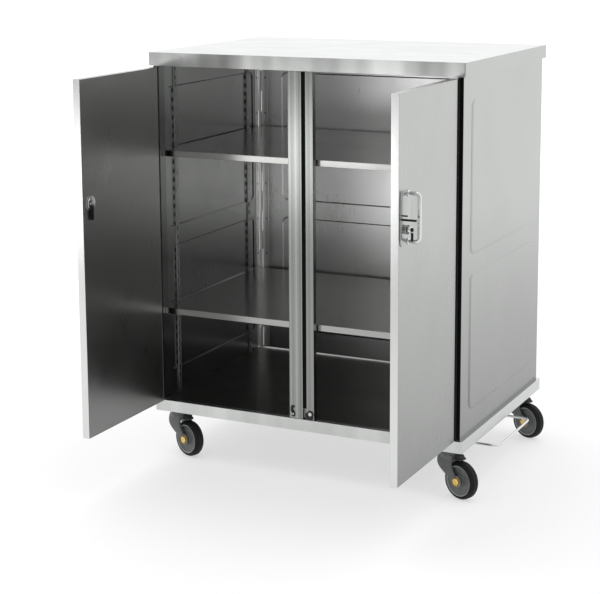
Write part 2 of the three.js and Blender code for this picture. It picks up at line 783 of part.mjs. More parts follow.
// Tow bail: a closed loop of rod, hinged along its inner side in two clips under the tray
function towBail() {
  const x0 = BAIL_PIVOT_X;
  const x1 = BAIL_PIVOT_X + BAIL_REACH;
  const y1 = BAIL_LENGTH / 2;
  const r = BAIL_CORNER;
  const at = (x, y) => new THREE.Vector3(x, y, BAIL_PIVOT_Z);
  const path = new THREE.CurvePath();
  const corner = (fromX, fromY, cornerX, cornerY, toX, toY) => {
    path.add(new THREE.QuadraticBezierCurve3(at(fromX, fromY), at(cornerX, cornerY), at(toX, toY)));
  };
  const straight = (fromX, fromY, toX, toY) => {
    path.add(new THREE.LineCurve3(at(fromX, fromY), at(toX, toY)));
  };
  straight(x0, 0, x0, -y1 + r);
  corner(x0, -y1 + r, x0, -y1, x0 + r, -y1);
  straight(x0 + r, -y1, x1 - r, -y1);
  corner(x1 - r, -y1, x1, -y1, x1, -y1 + r);
  straight(x1, -y1 + r, x1, y1 - r);
  corner(x1, y1 - r, x1, y1, x1 - r, y1);
  straight(x1 - r, y1, x0 + r, y1);
  corner(x0 + r, y1, x0, y1, x0, y1 - r);
  straight(x0, y1 - r, x0, 1);
  const section = new THREE.Shape().absarc(0, 0, ROD_RADIUS, 0, 2 * Math.PI);
  const options = { steps: 72, extrudePath: path, curveSegments: 4, bevelEnabled: false };
  const rod = new THREE.ExtrudeGeometry(section, options);
  return join(rod, peg(x0, BAIL_PIVOT_Z, -1, 2, ROD_RADIUS, 8));
}
piece("tow_bail", towBail(), polished());

// A clip hangs from the tray's floor sheet on a thin plate
function bailClip(y) {
  const y0 = y - BAIL_CLIP / 2;
  const y1 = y + BAIL_CLIP / 2;
  const x = BAIL_PIVOT_X;
  const z = BAIL_PIVOT_Z;
  const under = openingBottom - SHEET - GAP;
  const block = box(x - 8, x + 8, y0, y1, z - 8, z + 12);
  const hanger = box(x - 2, x + 2, y0, y1, z + 10, under);
  const bore = peg(x, z, y0 - 1, y1 + 1, ROD_RADIUS + 2 * GAP, 12);
  return cut(join(block, hanger), bore);
}
piece("front_bail_clip", bailClip(-BAIL_LENGTH / 2 + BAIL_CORNER + BAIL_CLIP), blackPlastic());
piece("rear_bail_clip", bailClip(BAIL_LENGTH / 2 - BAIL_CORNER - BAIL_CLIP), blackPlastic());

// Castors
function wheelRing(outer, inner, width, segments) {
  const half = width / 2;
  const soft = 5;
  const profile = [
    [inner, -half],
    [outer - soft, -half],
    [outer - 1, -half + soft],
    [outer, 0],
    [outer - 1, half - soft],
    [outer - soft, half],
    [inner, half],
    [inner, -half],
  ];
  return new THREE.LatheGeometry(profile.map(([x, y]) => new THREE.Vector2(x, y)), segments);
}

function castorFork() {
  const housing = post(0, 0, CROWN, HOUSING_TOP, HOUSING_RADIUS, 20);
  const bore = post(0, 0, CROWN + 2, HOUSING_TOP + 1, STEM_RADIUS + 2 * GAP, 12);
  const outline = new THREE.Shape();
  outline.moveTo(HOUSING_RADIUS - 3, CROWN + 8);
  outline.lineTo(-HOUSING_RADIUS + 4, CROWN + 8);
  outline.lineTo(-HOUSING_RADIUS + 4, CROWN - 12);
  outline.lineTo(TRAIL - 13, WHEEL_RADIUS);
  outline.absarc(TRAIL, WHEEL_RADIUS, 13, Math.PI, 2 * Math.PI);
  const cheeks = [-1, 1].map((sign) => {
    const middle = sign * (CHEEK_GAP + CHEEK_THICKNESS / 2);
    return uprightPlate(outline, middle - CHEEK_THICKNESS / 2, middle + CHEEK_THICKNESS / 2);
  });
  const axle = peg(TRAIL, WHEEL_RADIUS, -CHEEK_GAP - 1, CHEEK_GAP + 1, AXLE_RADIUS, 12);
  return join(cut(housing, bore), ...cheeks, axle);
}

// A flat plate standing in the XZ plane, from an outline of x and z
function uprightPlate(outline, y0, y1) {
  const options = { depth: y1 - y0, bevelEnabled: false, curveSegments: 6 };
  return new THREE.ExtrudeGeometry(outline, options).rotateX(Math.PI / 2).translate(0, y1, 0);
}

// The brake pedal tips about a pin behind the housing and presses on the tyre
function brakePedal() {
  const outline = new THREE.Shape();
  outline.moveTo(0, -4);
  outline.lineTo(20, -5);
  outline.lineTo(20, 1);
  outline.lineTo(10, 8);
  outline.lineTo(0, 8);
  return uprightPlate(outline, -PEDAL_HALF_WIDTH, PEDAL_HALF_WIDTH);
}

const corners = {
  front_left: [-1, -1],
  front_right: [1, -1],
  rear_left: [-1, 1],
  rear_right: [1, 1],
};
for (const [place, [signX, signY]] of Object.entries(corners)) {
  const castor = new THREE.Group();
  castor.position.set(signX * CASTOR_X, signY * castorY, 0);
  castor.rotation.z = CASTOR_YAW;
  cabinet.add(castor);
  piece(`${place}_fork`, castorFork(), greyHousing(), castor);

  const wheel = new THREE.Group();
  wheel.position.set(TRAIL, 0, WHEEL_RADIUS);
  castor.add(wheel);
  const tyre = wheelRing(WHEEL_RADIUS, HUB_RADIUS + GAP, TYRE_WIDTH, WHEEL_SEGMENTS);
  piece(`${place}_tyre`, tyre, blackRubber(), wheel);
  const hub = new THREE.CylinderGeometry(HUB_RADIUS, HUB_RADIUS, HUB_WIDTH, WHEEL_SEGMENTS);
  const bore = peg(0, 0, -HUB_WIDTH, HUB_WIDTH, AXLE_RADIUS + GAP, 12);
  piece(`${place}_hub`, cut(hub, bore), greyHub(), wheel);

  const pedal = new THREE.Group();
  pedal.position.set(HOUSING_RADIUS + 1, 0, PEDAL_HEIGHT);
  castor.add(pedal);
  piece(`${place}_brake_pedal`, brakePedal(), blackPlastic(), pedal);
}

// The origin is on the floor, under the centre of the whole part's box as it stands
const bounds = new THREE.Box3().setFromObject(cabinet, true);
const middle = bounds.getCenter(new THREE.Vector3());
cabinet.position.set(-middle.x, -middle.y, -bounds.min.z);

const trolley = new THREE.Group();
trolley.add(cabinet);
export default trolley;
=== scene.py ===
import json
import math

import bmesh
import bpy
from mathutils import Matrix, Vector


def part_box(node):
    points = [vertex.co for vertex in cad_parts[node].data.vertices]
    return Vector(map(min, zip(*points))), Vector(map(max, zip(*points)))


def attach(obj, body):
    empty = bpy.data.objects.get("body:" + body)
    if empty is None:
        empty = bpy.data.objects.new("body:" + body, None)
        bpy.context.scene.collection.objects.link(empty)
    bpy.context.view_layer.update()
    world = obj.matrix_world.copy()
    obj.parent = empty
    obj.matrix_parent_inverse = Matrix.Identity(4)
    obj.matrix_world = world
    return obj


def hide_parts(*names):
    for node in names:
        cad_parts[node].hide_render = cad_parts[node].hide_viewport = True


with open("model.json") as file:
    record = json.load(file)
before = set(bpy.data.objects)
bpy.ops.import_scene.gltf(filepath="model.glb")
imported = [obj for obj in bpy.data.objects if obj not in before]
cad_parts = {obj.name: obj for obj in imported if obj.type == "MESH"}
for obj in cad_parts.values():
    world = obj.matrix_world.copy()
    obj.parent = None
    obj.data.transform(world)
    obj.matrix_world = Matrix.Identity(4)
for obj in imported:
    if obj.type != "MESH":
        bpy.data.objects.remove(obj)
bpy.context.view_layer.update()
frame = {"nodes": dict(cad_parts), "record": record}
NODES = frame["nodes"]
JOINTS = {joint["name"]: joint for joint in frame["record"]["behaviour"]["joints"]}

# ---------------------------------------------------------------- materials


def new_material(name):
    material = bpy.data.materials.new(name)
    material.use_nodes = True
    tree = material.node_tree
    return material, tree, tree.nodes["Principled BSDF"]


def add_noise(tree, coords, scale, size, detail=3.0):
    """Noise over the object's own coordinates, stretched by scale."""
    mapping = tree.nodes.new("ShaderNodeMapping")
    mapping.inputs["Scale"].default_value = scale
    tree.links.new(coords, mapping.inputs["Vector"])
    noise = tree.nodes.new("ShaderNodeTexNoise")
    noise.inputs["Scale"].default_value = size
    noise.inputs["Detail"].default_value = detail
    tree.links.new(mapping.outputs["Vector"], noise.inputs["Vector"])
    return noise.outputs["Fac"]


def remap(tree, value, low, high, source=(0.3, 0.7)):
    node = tree.nodes.new("ShaderNodeMapRange")
    node.inputs["From Min"].default_value = source[0]
    node.inputs["From Max"].default_value = source[1]
    node.inputs["To Min"].default_value = low
    node.inputs["To Max"].default_value = high
    tree.links.new(value, node.inputs["Value"])
    return node.outputs["Result"]


def combine(tree, a, b, operation="MULTIPLY"):
    node = tree.nodes.new("ShaderNodeMath")
    node.operation = operation
    tree.links.new(a, node.inputs[0])
    tree.links.new(b, node.inputs[1])
    return node.outputs["Value"]


def tint(tree, value, dark, light):
    ramp = tree.nodes.new("ShaderNodeMix")
    ramp.data_type = "RGBA"
    ramp.inputs["A"].default_value = (*dark, 1)
    ramp.inputs["B"].default_value = (*light, 1)
    tree.links.new(value, ramp.inputs["Factor"])
    return ramp.outputs["Result"]


def add_bump(tree, shader, height, strength, distance):
    if not strength:
        return
    bump = tree.nodes.new("ShaderNodeBump")
    bump.inputs["Strength"].default_value = strength
    bump.inputs["Distance"].default_value = distance
    tree.links.new(height, bump.inputs["Height"])
    tree.links.new(bump.outputs["Normal"], shader.inputs["Normal"])


def edge_mask(tree):
    """Bright on worn outer edges."""
    geometry = tree.nodes.new("ShaderNodeNewGeometry")
    return remap(tree, geometry.outputs["Pointiness"], 0.0, 1.0, (0.52, 0.60))


TINT_SPAN = 1.6


def steel(name, grain, tone, roughness, spread=0.03, bump=0.010, foot=1.0, span=(0.15, 0.75),
          bands=None, outside=None):
    """Brushed stainless: grain runs along the axis with the small scale.

    The tone is multiplied by foot at the lower height of span, and by one above it: painted shade, darker
    towards the bottom.
    Bands are a noise scale and a depth, for broad stripes; on the slab's front lip they are painted
    reflections. Outside multiplies the tone of faces that look along the object's own +Y, so one steel gets
    a lit and a shaded side: painted light.
    """
    material, tree, shader = new_material(name)
    coords = tree.nodes.new("ShaderNodeTexCoord").outputs["Object"]
    fine = add_noise(tree, coords, grain, 1.0, 4.0)
    broad = add_noise(tree, coords, (1, 1, 1), 2.2, 4.0)
    smudge = add_noise(tree, coords, (1, 1, 0.6), 9.0, 5.0)
    shade = combine(tree, remap(tree, fine, 0.985, 1.015), remap(tree, broad, 0.97, 1.03))
    # Broad stripes in the colour; on the slab's front lip they are painted reflections.
    if bands:
        scale, depth = bands
        stripes = add_noise(tree, coords, scale, 1.0, 2.0)
        shade = combine(tree, shade, remap(tree, stripes, 1 - depth, 1 + depth, (0.38, 0.62)))
    # Painted light: faces that look along +Y get their own tone, a lit and a shaded side of one steel.
    if outside is not None:
        way = tree.nodes.new("ShaderNodeSeparateXYZ")
        tree.links.new(tree.nodes.new("ShaderNodeTexCoord").outputs["Normal"], way.inputs["Vector"])
        shade = combine(tree, shade, remap(tree, way.outputs["Y"], 1.0, outside, (-0.1, 0.1)))
    # Painted shade: the tone darkens towards the bottom of the piece.
    if foot != 1.0:
        apart = tree.nodes.new("ShaderNodeSeparateXYZ")
        tree.links.new(coords, apart.inputs["Vector"])
        height = remap(tree, apart.outputs["Z"], foot, 1.0, span)
        shade = combine(tree, shade, height)
    level = remap(tree, shade, 0, 1, (0.0, TINT_SPAN))
    colour = tint(tree, level, (0, 0, 0), tuple(TINT_SPAN * c for c in tone))
    tree.links.new(colour, shader.inputs["Base Color"])
    rough = combine(
        tree,
        remap(tree, fine, roughness - spread / 2, roughness + spread / 2),
        remap(tree, smudge, 0.92, 1.16, (0.35, 0.75)),
    )
    tree.links.new(rough, shader.inputs["Roughness"])
    shader.inputs["Metallic"].default_value = 1.0
    add_bump(tree, shader, fine, bump, 0.0002)
    return material


def moulded(name, dark, light, roughness, size=90.0, metallic=0.0, bump=0.25, wear=None, gloss=0.5):
    """Moulded plastic, rubber or paint with a fine pebble and a scuffed edge."""
    material, tree, shader = new_material(name)
    coords = tree.nodes.new("ShaderNodeTexCoord").outputs["Object"]
    grain = add_noise(tree, coords, (1, 1, 1), size * 8, 3.0)
    blotch = add_noise(tree, coords, (1, 1, 1), size, 4.0)
    colour = tint(tree, remap(tree, blotch, 0, 1), dark, light)
    if wear:
        mix = tree.nodes.new("ShaderNodeMix")
        mix.data_type = "RGBA"
        mix.inputs["B"].default_value = (*wear, 1)
        worn = combine(tree, edge_mask(tree), remap(tree, blotch, 0.1, 0.8))
        tree.links.new(worn, mix.inputs["Factor"])
        tree.links.new(colour, mix.inputs["A"])
        colour = mix.outputs["Result"]
    tree.links.new(colour, shader.inputs["Base Color"])
    rough = remap(tree, blotch, roughness - 0.07, roughness + 0.1)
    tree.links.new(rough, shader.inputs["Roughness"])
    shader.inputs["Metallic"].default_value = metallic
    shader.inputs["Specular IOR Level"].default_value = gloss
    add_bump(tree, shader, grain, bump, 0.0002)
    return material


UPRIGHT_GRAIN = (900, 900, 7)
ALONG_GRAIN = (7, 900, 900)
# Painted shade: the foot values darken the doors, side panels, rear panel and door backs towards the bottom,
# standing in for darker reflections and shade low down.
door_steel = steel("door_steel", UPRIGHT_GRAIN, (0.40, 0.41, 0.40), 0.26, foot=0.66, bump=0.0)
panel_steel = steel("panel_steel", UPRIGHT_GRAIN, (0.40, 0.41, 0.40), 0.24, foot=0.55, bump=0.0)
# Painted light: the rear panel's inside has a tone above one so the interior back looks lit; the outside is
# scaled back to ordinary steel, and the foot adds painted shade towards the bottom.
rear_steel = steel("rear_steel", UPRIGHT_GRAIN, (1.25, 1.26, 1.25), 0.30, foot=0.35,
                   span=(0.20, 0.80), bump=0.0, outside=0.34)
# Painted light: the door pans' front edges get a brighter tone than the door steel, standing in for their
# bright reflection.
edge_steel = steel("edge_steel", UPRIGHT_GRAIN, (0.66, 0.67, 0.66), 0.22)
barrel_steel = steel("barrel_steel", (200, 200, 200), (1.0, 1.0, 0.99), 0.34)
inner_steel = steel("inner_steel", UPRIGHT_GRAIN, (0.46, 0.465, 0.455), 0.30, foot=0.62, bump=0.0)
slab_steel = steel("slab_steel", ALONG_GRAIN, (0.55, 0.56, 0.56), 0.22)
# Painted reflection: stripes across the slab's front lip stand in for the light and dark it reflects.
lip_steel = steel("lip_steel", ALONG_GRAIN, (0.56, 0.57, 0.56), 0.22, bands=((7.0, 0.0, 0.0), 0.34))
# Painted shade: the slab's end faces get a darker tone than the slab, dimming the lit ends.
end_steel = steel("end_steel", ALONG_GRAIN, (0.40, 0.41, 0.40), 0.22)
rail_steel = steel("rail_steel", ALONG_GRAIN, (0.56, 0.57, 0.56), 0.24,
                   bands=((9.0, 0.0, 0.0), 0.10))
# Painted shade: near-black steel for the sheet on the tray floor, standing in for the shade inside the
# cabinet.
floor_steel = steel("floor_steel", ALONG_GRAIN, (0.13, 0.13, 0.125), 0.30, spread=0.012, bump=0.0)
shelf_steel = steel("shelf_steel", ALONG_GRAIN, (0.36, 0.36, 0.35), 0.20, bump=0.0)
bright_steel = steel("bright_steel", UPRIGHT_GRAIN, (0.26, 0.27, 0.26), 0.18,
                     bands=((75.0, 0.0, 0.0), 0.30))
plate_steel = steel("plate_steel", UPRIGHT_GRAIN, (0.40, 0.41, 0.40), 0.22)
lock_steel = steel("lock_steel", (90, 90, 90), (0.80, 0.81, 0.80), 0.22, 0.08)
zinc = steel("zinc", (60, 60, 60), (0.42, 0.43, 0.43), 0.36, 0.12, 0.1)
chrome = steel("chrome", (140, 140, 140), (0.66, 0.67, 0.67), 0.12, 0.05)
black_plastic = moulded("black_plastic", (0.010, 0.010, 0.010), (0.020, 0.020, 0.021), 0.42,
                        wear=(0.07, 0.07, 0.07), gloss=0.22)
# Black rubber for the mullion's groove strip; on the hinge seals and hinge leaf strips it is painted shade.
seal_rubber = moulded("seal_rubber", (0.004, 0.004, 0.004), (0.008, 0.008, 0.008), 0.7, gloss=0.06)
tread_rubber = moulded("tread_rubber", (0.005, 0.005, 0.006), (0.011, 0.011, 0.012), 0.5,
                       bump=0.4, wear=(0.045, 0.045, 0.045), gloss=0.16)
grey_paint = moulded("grey_paint", (0.066, 0.072, 0.070), (0.090, 0.097, 0.094), 0.34,
                     wear=(0.20, 0.21, 0.21))
hub_grey = moulded("hub_grey", (0.082, 0.090, 0.088), (0.115, 0.124, 0.121), 0.40,
                   wear=(0.2, 0.2, 0.2))
pale_line = moulded("pale_line", (0.24, 0.25, 0.25), (0.32, 0.33, 0.33), 0.4)
brass = moulded("brass", (0.66, 0.45, 0.12), (0.80, 0.58, 0.20), 0.28, metallic=1.0, bump=0.1)
olive = moulded("olive", (0.20, 0.145, 0.055), (0.28, 0.20, 0.09), 0.4, metallic=0.3)
white_plastic = moulded("white_plastic", (0.75, 0.75, 0.74), (0.82, 0.82, 0.81), 0.35)
lock_dark = moulded("lock_dark", (0.006, 0.006, 0.006), (0.014, 0.014, 0.014), 0.35,
                    metallic=0.2, gloss=0.15)
# Painted shade: near black for the front hinges, standing in for the shade in their recess.
hinge_dark = moulded("hinge_dark", (0.006, 0.006, 0.006), (0.013, 0.013, 0.013), 0.45,
                     metallic=0.3, gloss=0.2)

# ---------------------------------------------------------------- stage, light and camera

FLOOR_NEAR = 1.2
FLOOR_FAR = 4.2
# Share of glow on the near floor, painted light that lightens the cabinet's shadows on it.
FLOOR_GLOW = 0.42
FLOOR_RADIUS = 14.0
STUDIO_WHITE = 1.22
PAPER_DARK = (0.80, 0.80, 0.80)
PAPER_LIGHT = (0.84, 0.84, 0.84)
CAMERA_ANGLES = (26.12, 9.65, -0.331)  # yaw, pitch and roll in degrees
CAMERA_AT = (1.7815, -3.8044, 1.4608)
CAMERA_LENS = 95.38
CAMERA_SHIFT = -0.1667
OVERHEAD_POWER = 26
FRONT_POWER = 11


def make_floor():
    bm = bmesh.new()
    bmesh.ops.create_circle(bm, cap_ends=True, radius=FLOOR_RADIUS, segments=96)
    mesh = bpy.data.meshes.new("floor")
    bm.to_mesh(mesh)
    bm.free()
    floor = bpy.data.objects.new("floor", mesh)
    floor.location = (0, 0.1, 0)
    bpy.context.scene.collection.objects.link(floor)
    material, tree, shader = new_material("floor_paper")
    coords = tree.nodes.new("ShaderNodeTexCoord").outputs["Object"]
    length = tree.nodes.new("ShaderNodeVectorMath")
    length.operation = "LENGTH"
    tree.links.new(coords, length.inputs[0])
    far = tree.nodes.new("ShaderNodeMapRange")
    far.interpolation_type = "SMOOTHERSTEP"
    far.inputs["From Min"].default_value = FLOOR_NEAR
    far.inputs["From Max"].default_value = FLOOR_FAR
    far.inputs["To Min"].default_value = FLOOR_GLOW
    tree.links.new(length.outputs["Value"], far.inputs["Value"])
    paper = add_noise(tree, coords, (1, 1, 1), 60.0)
    tree.links.new(tint(tree, paper, PAPER_DARK, PAPER_LIGHT), shader.inputs["Base Color"])
    shader.inputs["Roughness"].default_value = 0.75
    # Painted light: the floor glows. Near the cabinet a part glow lightens its shadows; further out the glow
    # merges into the white backdrop, dimmer towards the front.
    glow = tree.nodes.new("ShaderNodeEmission")
    apart = tree.nodes.new("ShaderNodeSeparateXYZ")
    tree.links.new(coords, apart.inputs["Vector"])
    strength = remap(tree, apart.outputs["Y"], 0.60, STUDIO_WHITE, (-3.6, -1.6))
    tree.links.new(strength, glow.inputs["Strength"])
    blend = tree.nodes.new("ShaderNodeMixShader")
    tree.links.new(far.outputs["Result"], blend.inputs["Fac"])
    tree.links.new(shader.outputs["BSDF"], blend.inputs[1])
    tree.links.new(glow.outputs["Emission"], blend.inputs[2])
    tree.links.new(blend.outputs["Shader"], tree.nodes["Material Output"].inputs["Surface"])
    mesh.materials.append(material)


def make_world():
    """A white studio that is darker on the side the cabinet's front faces."""
    world = bpy.data.worlds.new("studio")
    bpy.context.scene.world = world
    world.use_nodes = True
    tree = world.node_tree
    background = tree.nodes["Background"]
    direction = tree.nodes.new("ShaderNodeTexCoord").outputs["Generated"]
    facing = tree.nodes.new("ShaderNodeVectorMath")
    facing.operation = "DOT_PRODUCT"
    facing.inputs[1].default_value = (0.1, 0.9, 0.35)
    tree.links.new(direction, facing.inputs[0])
    level = remap(tree, facing.outputs["Value"], 0.42, STUDIO_WHITE, (-0.75, 0.15))
    tree.links.new(level, background.inputs["Strength"])
    background.inputs["Color"].default_value = (1, 1, 1, 1)


def add_area(name, location, target, size, power):
    data = bpy.data.lights.new(name, "AREA")
    data.shape = "RECTANGLE"
    data.size, data.size_y = size
    data.energy = power
    light = bpy.data.objects.new(name, data)
    light.location = location
    light.visible_camera = False
    light.rotation_euler = (Vector(target) - Vector(location)).to_track_quat("-Z", "Y").to_euler()
    bpy.context.scene.collection.objects.link(light)


def make_camera():
    yaw, pitch, roll = (math.radians(a) for a in CAMERA_ANGLES)
    flat = math.cos(pitch)
    forward = Vector((-math.sin(yaw) * flat, math.cos(yaw) * flat, -math.sin(pitch)))
    level = Vector((math.cos(yaw), math.sin(yaw), 0))
    upright = level.cross(forward)
    right = math.cos(roll) * level + math.sin(roll) * upright
    up = math.cos(roll) * upright - math.sin(roll) * level
    data = bpy.data.cameras.new("camera")
    data.sensor_width = 36.0
    data.lens = CAMERA_LENS
    data.shift_y = CAMERA_SHIFT
    data.clip_start = 0.05
    camera = bpy.data.objects.new("camera", data)
    matrix = Matrix((right, up, -forward)).transposed().to_4x4()
    matrix.translation = CAMERA_AT
    camera.matrix_world = matrix
    bpy.context.scene.collection.objects.link(camera)
    bpy.context.scene.camera = camera


make_floor()
make_world()
add_area("overhead", (-0.6, -0.4, 3.6), (0, 0.1, 0.6), (3.0, 2.4), OVERHEAD_POWER)
add_area("front", (-2.3, -3.7, 0.26), (0.1, 0.45, 0.8), (3.0, 0.5), FRONT_POWER)
make_camera()
bpy.context.scene.view_settings.view_transform = "Standard"

# ---------------------------------------------------------------- piece helpers


def link_piece(name, mesh, body, material, replaced=()):
    piece = bpy.data.objects.new(name, mesh)
    bpy.context.scene.collection.objects.link(piece)
    mesh.materials.clear()
    mesh.materials.append(material)
    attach(piece, body)
    if replaced:
        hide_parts(*replaced)
    return piece


def body_of(node):
    for body, members in frame["record"]["behaviour"]["bodies"].items():
        if node in members:
            return body
    raise ValueError(node)


def refine(node, material, width=0.0007, segments=2, angle=35):
    """Stands for a CAD node with the same shape and softly rolled edges."""
    mesh = NODES[node].data.copy()
    bm = bmesh.new()
    bm.from_mesh(mesh)
    bmesh.ops.remove_doubles(bm, verts=bm.verts, dist=1e-5)
    bmesh.ops.dissolve_limit(bm, angle_limit=math.radians(0.5), verts=bm.verts, edges=bm.edges)
    bm.to_mesh(mesh)
    bm.free()
    mesh.shade_smooth()
    rough = bpy.data.objects.new(node + "_rough", mesh)
    bpy.context.scene.collection.objects.link(rough)
    bevel = rough.modifiers.new("bevel", "BEVEL")
    bevel.width = width
    bevel.segments = segments
    bevel.limit_method = "ANGLE"
    bevel.angle_limit = math.radians(angle)
    normals = rough.modifiers.new("normals", "WEIGHTED_NORMAL")
    normals.keep_sharp = True
    graph = bpy.context.evaluated_depsgraph_get()
    final = bpy.data.meshes.new_from_object(rough.evaluated_get(graph))
    bpy.data.objects.remove(rough)
    final.name = node + "_sheet"
    return link_piece(node + "_sheet", final, body_of(node), material, (node,))


# Used to paint light and shade by facing: on the top slab and door pans, faces that look one way get a
# lighter or darker copy of the steel.
def faced(piece, *looks):
    """Gives the faces that look one way a material of their own."""
    for material, way in looks:
        piece.data.materials.append(material)
        slot = len(piece.data.materials) - 1
        for polygon in piece.data.polygons:
            if polygon.normal.dot(Vector(way)) > 0.9:
                polygon.material_index = slot
    return piece


def dress(material, *names):
    for name in names:
        mesh = NODES[name].data
        mesh.materials.clear()
        mesh.materials.append(material)


# ---------------------------------------------------------------- sheet metal

# Painted light and shade by facing: the slab's ends are darker, its front lip carries reflection stripes,
# and the door pans' front edges are brighter.
faced(refine("top_slab", slab_steel, 0.0018, 3),
      (lip_steel, (0, -1, 0)), (end_steel, (1, 0, 0)), (end_steel, (-1, 0, 0)))
faced(refine("base_tray", slab_steel, 0.0014, 3), (rail_steel, (0, -1, 0)))
for word in ("left", "right"):
    # Painted light: the door pans' front faces take the brighter edge steel.
    faced(refine(f"{word}_door_pan", door_steel, 0.0014, 3), (edge_steel, (0, -1, 0)))
    dress(inner_steel, f"{word}_door_back")
    dress(panel_steel, f"{word}_side_panel")
    dress(bright_steel, f"{word}_front_post")
    # Painted shade: the hinge seals are near black, a dark strip standing in for the shade in the hinge
    # recess.
    dress(seal_rubber, f"{word}_hinge_seal")
dress(rear_steel, "rear_door_panel")
dress(slab_steel, "top_liner")
refine("mullion", bright_steel, 0.0012, 2)
refine("upper_shelf", shelf_steel, 0.001, 2)
refine("lower_shelf", shelf_steel, 0.001, 2)
dress(zinc, "front_castor_channel", "rear_castor_channel")

# ---------------------------------------------------------------- shaped pieces


def build(name, vertices, faces, node, material, matrix=None, replaced=(), smooth=True, sharp=40):
    """Makes a piece from plain lists, riding on the body of the CAD node."""
    mesh = bpy.data.meshes.new(name)
    mesh.from_pydata(vertices, [], faces)
    bm = bmesh.new()
    bm.from_mesh(mesh)
    bmesh.ops.remove_doubles(bm, verts=bm.verts, dist=1e-6)
    bmesh.ops.recalc_face_normals(bm, faces=bm.faces)
    if matrix is not None:
        bm.transform(matrix)
    bm.to_mesh(mesh)
    bm.free()
    if smooth:
        mesh.shade_smooth()
        mesh.set_sharp_from_angle(angle=math.radians(sharp))
    return link_piece(name, mesh, body_of(node), material, replaced)


def turned(profile, segments=48):
    """A closed profile of [radius, height] points turned round Z."""
    vertices, faces = [], []
    count = len(profile)
    for i in range(segments):
        angle = 2 * math.pi * i / segments
        for radius, height in profile:
            vertices.append((radius * math.cos(angle), radius * math.sin(angle), height))
    for i in range(segments):
        after = (i + 1) % segments
        for j in range(count):
            k = (j + 1) % count
            faces.append((i * count + j, after * count + j, after * count + k, i * count + k))
    return vertices, faces


def solid_turned(outline, segments=48):
    """An outline of [radius, height] points from axis to axis, turned round Z."""
    vertices, faces = [], []
    inner = outline[1:-1]
    count = len(inner)
    for i in range(segments):
        angle = 2 * math.pi * i / segments
        for radius, height in inner:
            vertices.append((radius * math.cos(angle), radius * math.sin(angle), height))
    for i in range(segments):
        after = (i + 1) % segments
        for j in range(count - 1):
            here, there = i * count + j, after * count + j
            faces.append((here, there, there + 1, here + 1))
    for point, ring in ((outline[0], 0), (outline[-1], count - 1)):
        vertices.append((0, 0, point[1]))
        tip = len(vertices) - 1
        for i in range(segments):
            faces.append((tip, i * count + ring, ((i + 1) % segments) * count + ring))
    return vertices, faces


def loft(sections):
    """Joins closed rings of equal length and caps both ends."""
    count = len(sections[0])
    vertices = [point for ring in sections for point in ring]
    faces = [tuple(range(count)), tuple(range((len(sections) - 1) * count, len(sections) * count))]
    for i in range(len(sections) - 1):
        for j in range(count):
            k = (j + 1) % count
            faces.append((i * count + j, i * count + k, (i + 1) * count + k, (i + 1) * count + j))
    return vertices, faces


def soft_box(low, high, radius, segments=3):
    """A box between two corners with every edge rounded."""
    bm = bmesh.new()
    bmesh.ops.create_cube(bm, size=1)
    size = [b - a for a, b in zip(low, high)]
    middle = [(a + b) / 2 for a, b in zip(low, high)]
    bmesh.ops.scale(bm, vec=size, verts=bm.verts)
    bmesh.ops.translate(bm, vec=middle, verts=bm.verts)
    radius = min(radius, 0.49 * min(size))
    bmesh.ops.bevel(bm, geom=bm.edges[:], offset=radius, segments=segments, profile=0.5,
                    affect="EDGES")
    bm.verts.index_update()
    vertices = [tuple(v.co) for v in bm.verts]
    faces = [tuple(v.index for v in f.verts) for f in bm.faces]
    bm.free()
    return vertices, faces


def soft_prism(outline, low, high, radius, plane="XY", segments=2):
    """A prism over an outline with its two face edges rounded; plane names the outline's axes."""
    bm = bmesh.new()
    lower = [bm.verts.new((x, y, low)) for x, y in outline]
    upper = [bm.verts.new((x, y, high)) for x, y in outline]
    count = len(outline)
    rims = [bm.faces.new(lower), bm.faces.new(upper)]
    for i in range(count):
        j = (i + 1) % count
        bm.faces.new((lower[i], lower[j], upper[j], upper[i]))
    bmesh.ops.recalc_face_normals(bm, faces=bm.faces)
    edges = [edge for face in rims for edge in face.edges]
    bmesh.ops.bevel(bm, geom=edges, offset=radius, segments=segments, profile=0.5, affect="EDGES")
    bm.verts.index_update()
    faces = [tuple(v.index for v in f.verts) for f in bm.faces]
    order = {"XY": (0, 1, 2), "XZ": (0, 2, 1), "YZ": (2, 0, 1)}[plane]
    vertices = [tuple(v.co[axis] for axis in order) for v in bm.verts]
    bm.free()
    return vertices, faces


def merged(*pieces):
    vertices, faces = [], []
    for points, polygons in pieces:
        shift = len(vertices)
        vertices += points
        faces += [tuple(i + shift for i in polygon) for polygon in polygons]
    return vertices, faces


def moved(piece, matrix):
    points, faces = piece
    return [tuple(matrix @ Vector(p)) for p in points], faces


def rounded(cx, cy, width, height, radius, steps=6):
    """Points of a rectangle with round corners."""
    points = []
    corners = ((1, -1, -90), (1, 1, 0), (-1, 1, 90), (-1, -1, 180))
    for sx, sy, start in corners:
        x = cx + sx * (width / 2 - radius)
        y = cy + sy * (height / 2 - radius)
        for i in range(steps + 1):
            angle = math.radians(start + 90 * i / steps)
            points.append((x + radius * math.cos(angle), y + radius * math.sin(angle)))
    return points


def circle(cx, cy, radius, count=24):
    angles = (2 * math.pi * i / count for i in range(count))
    return [(cx + radius * math.cos(a), cy + radius * math.sin(a)) for a in angles]


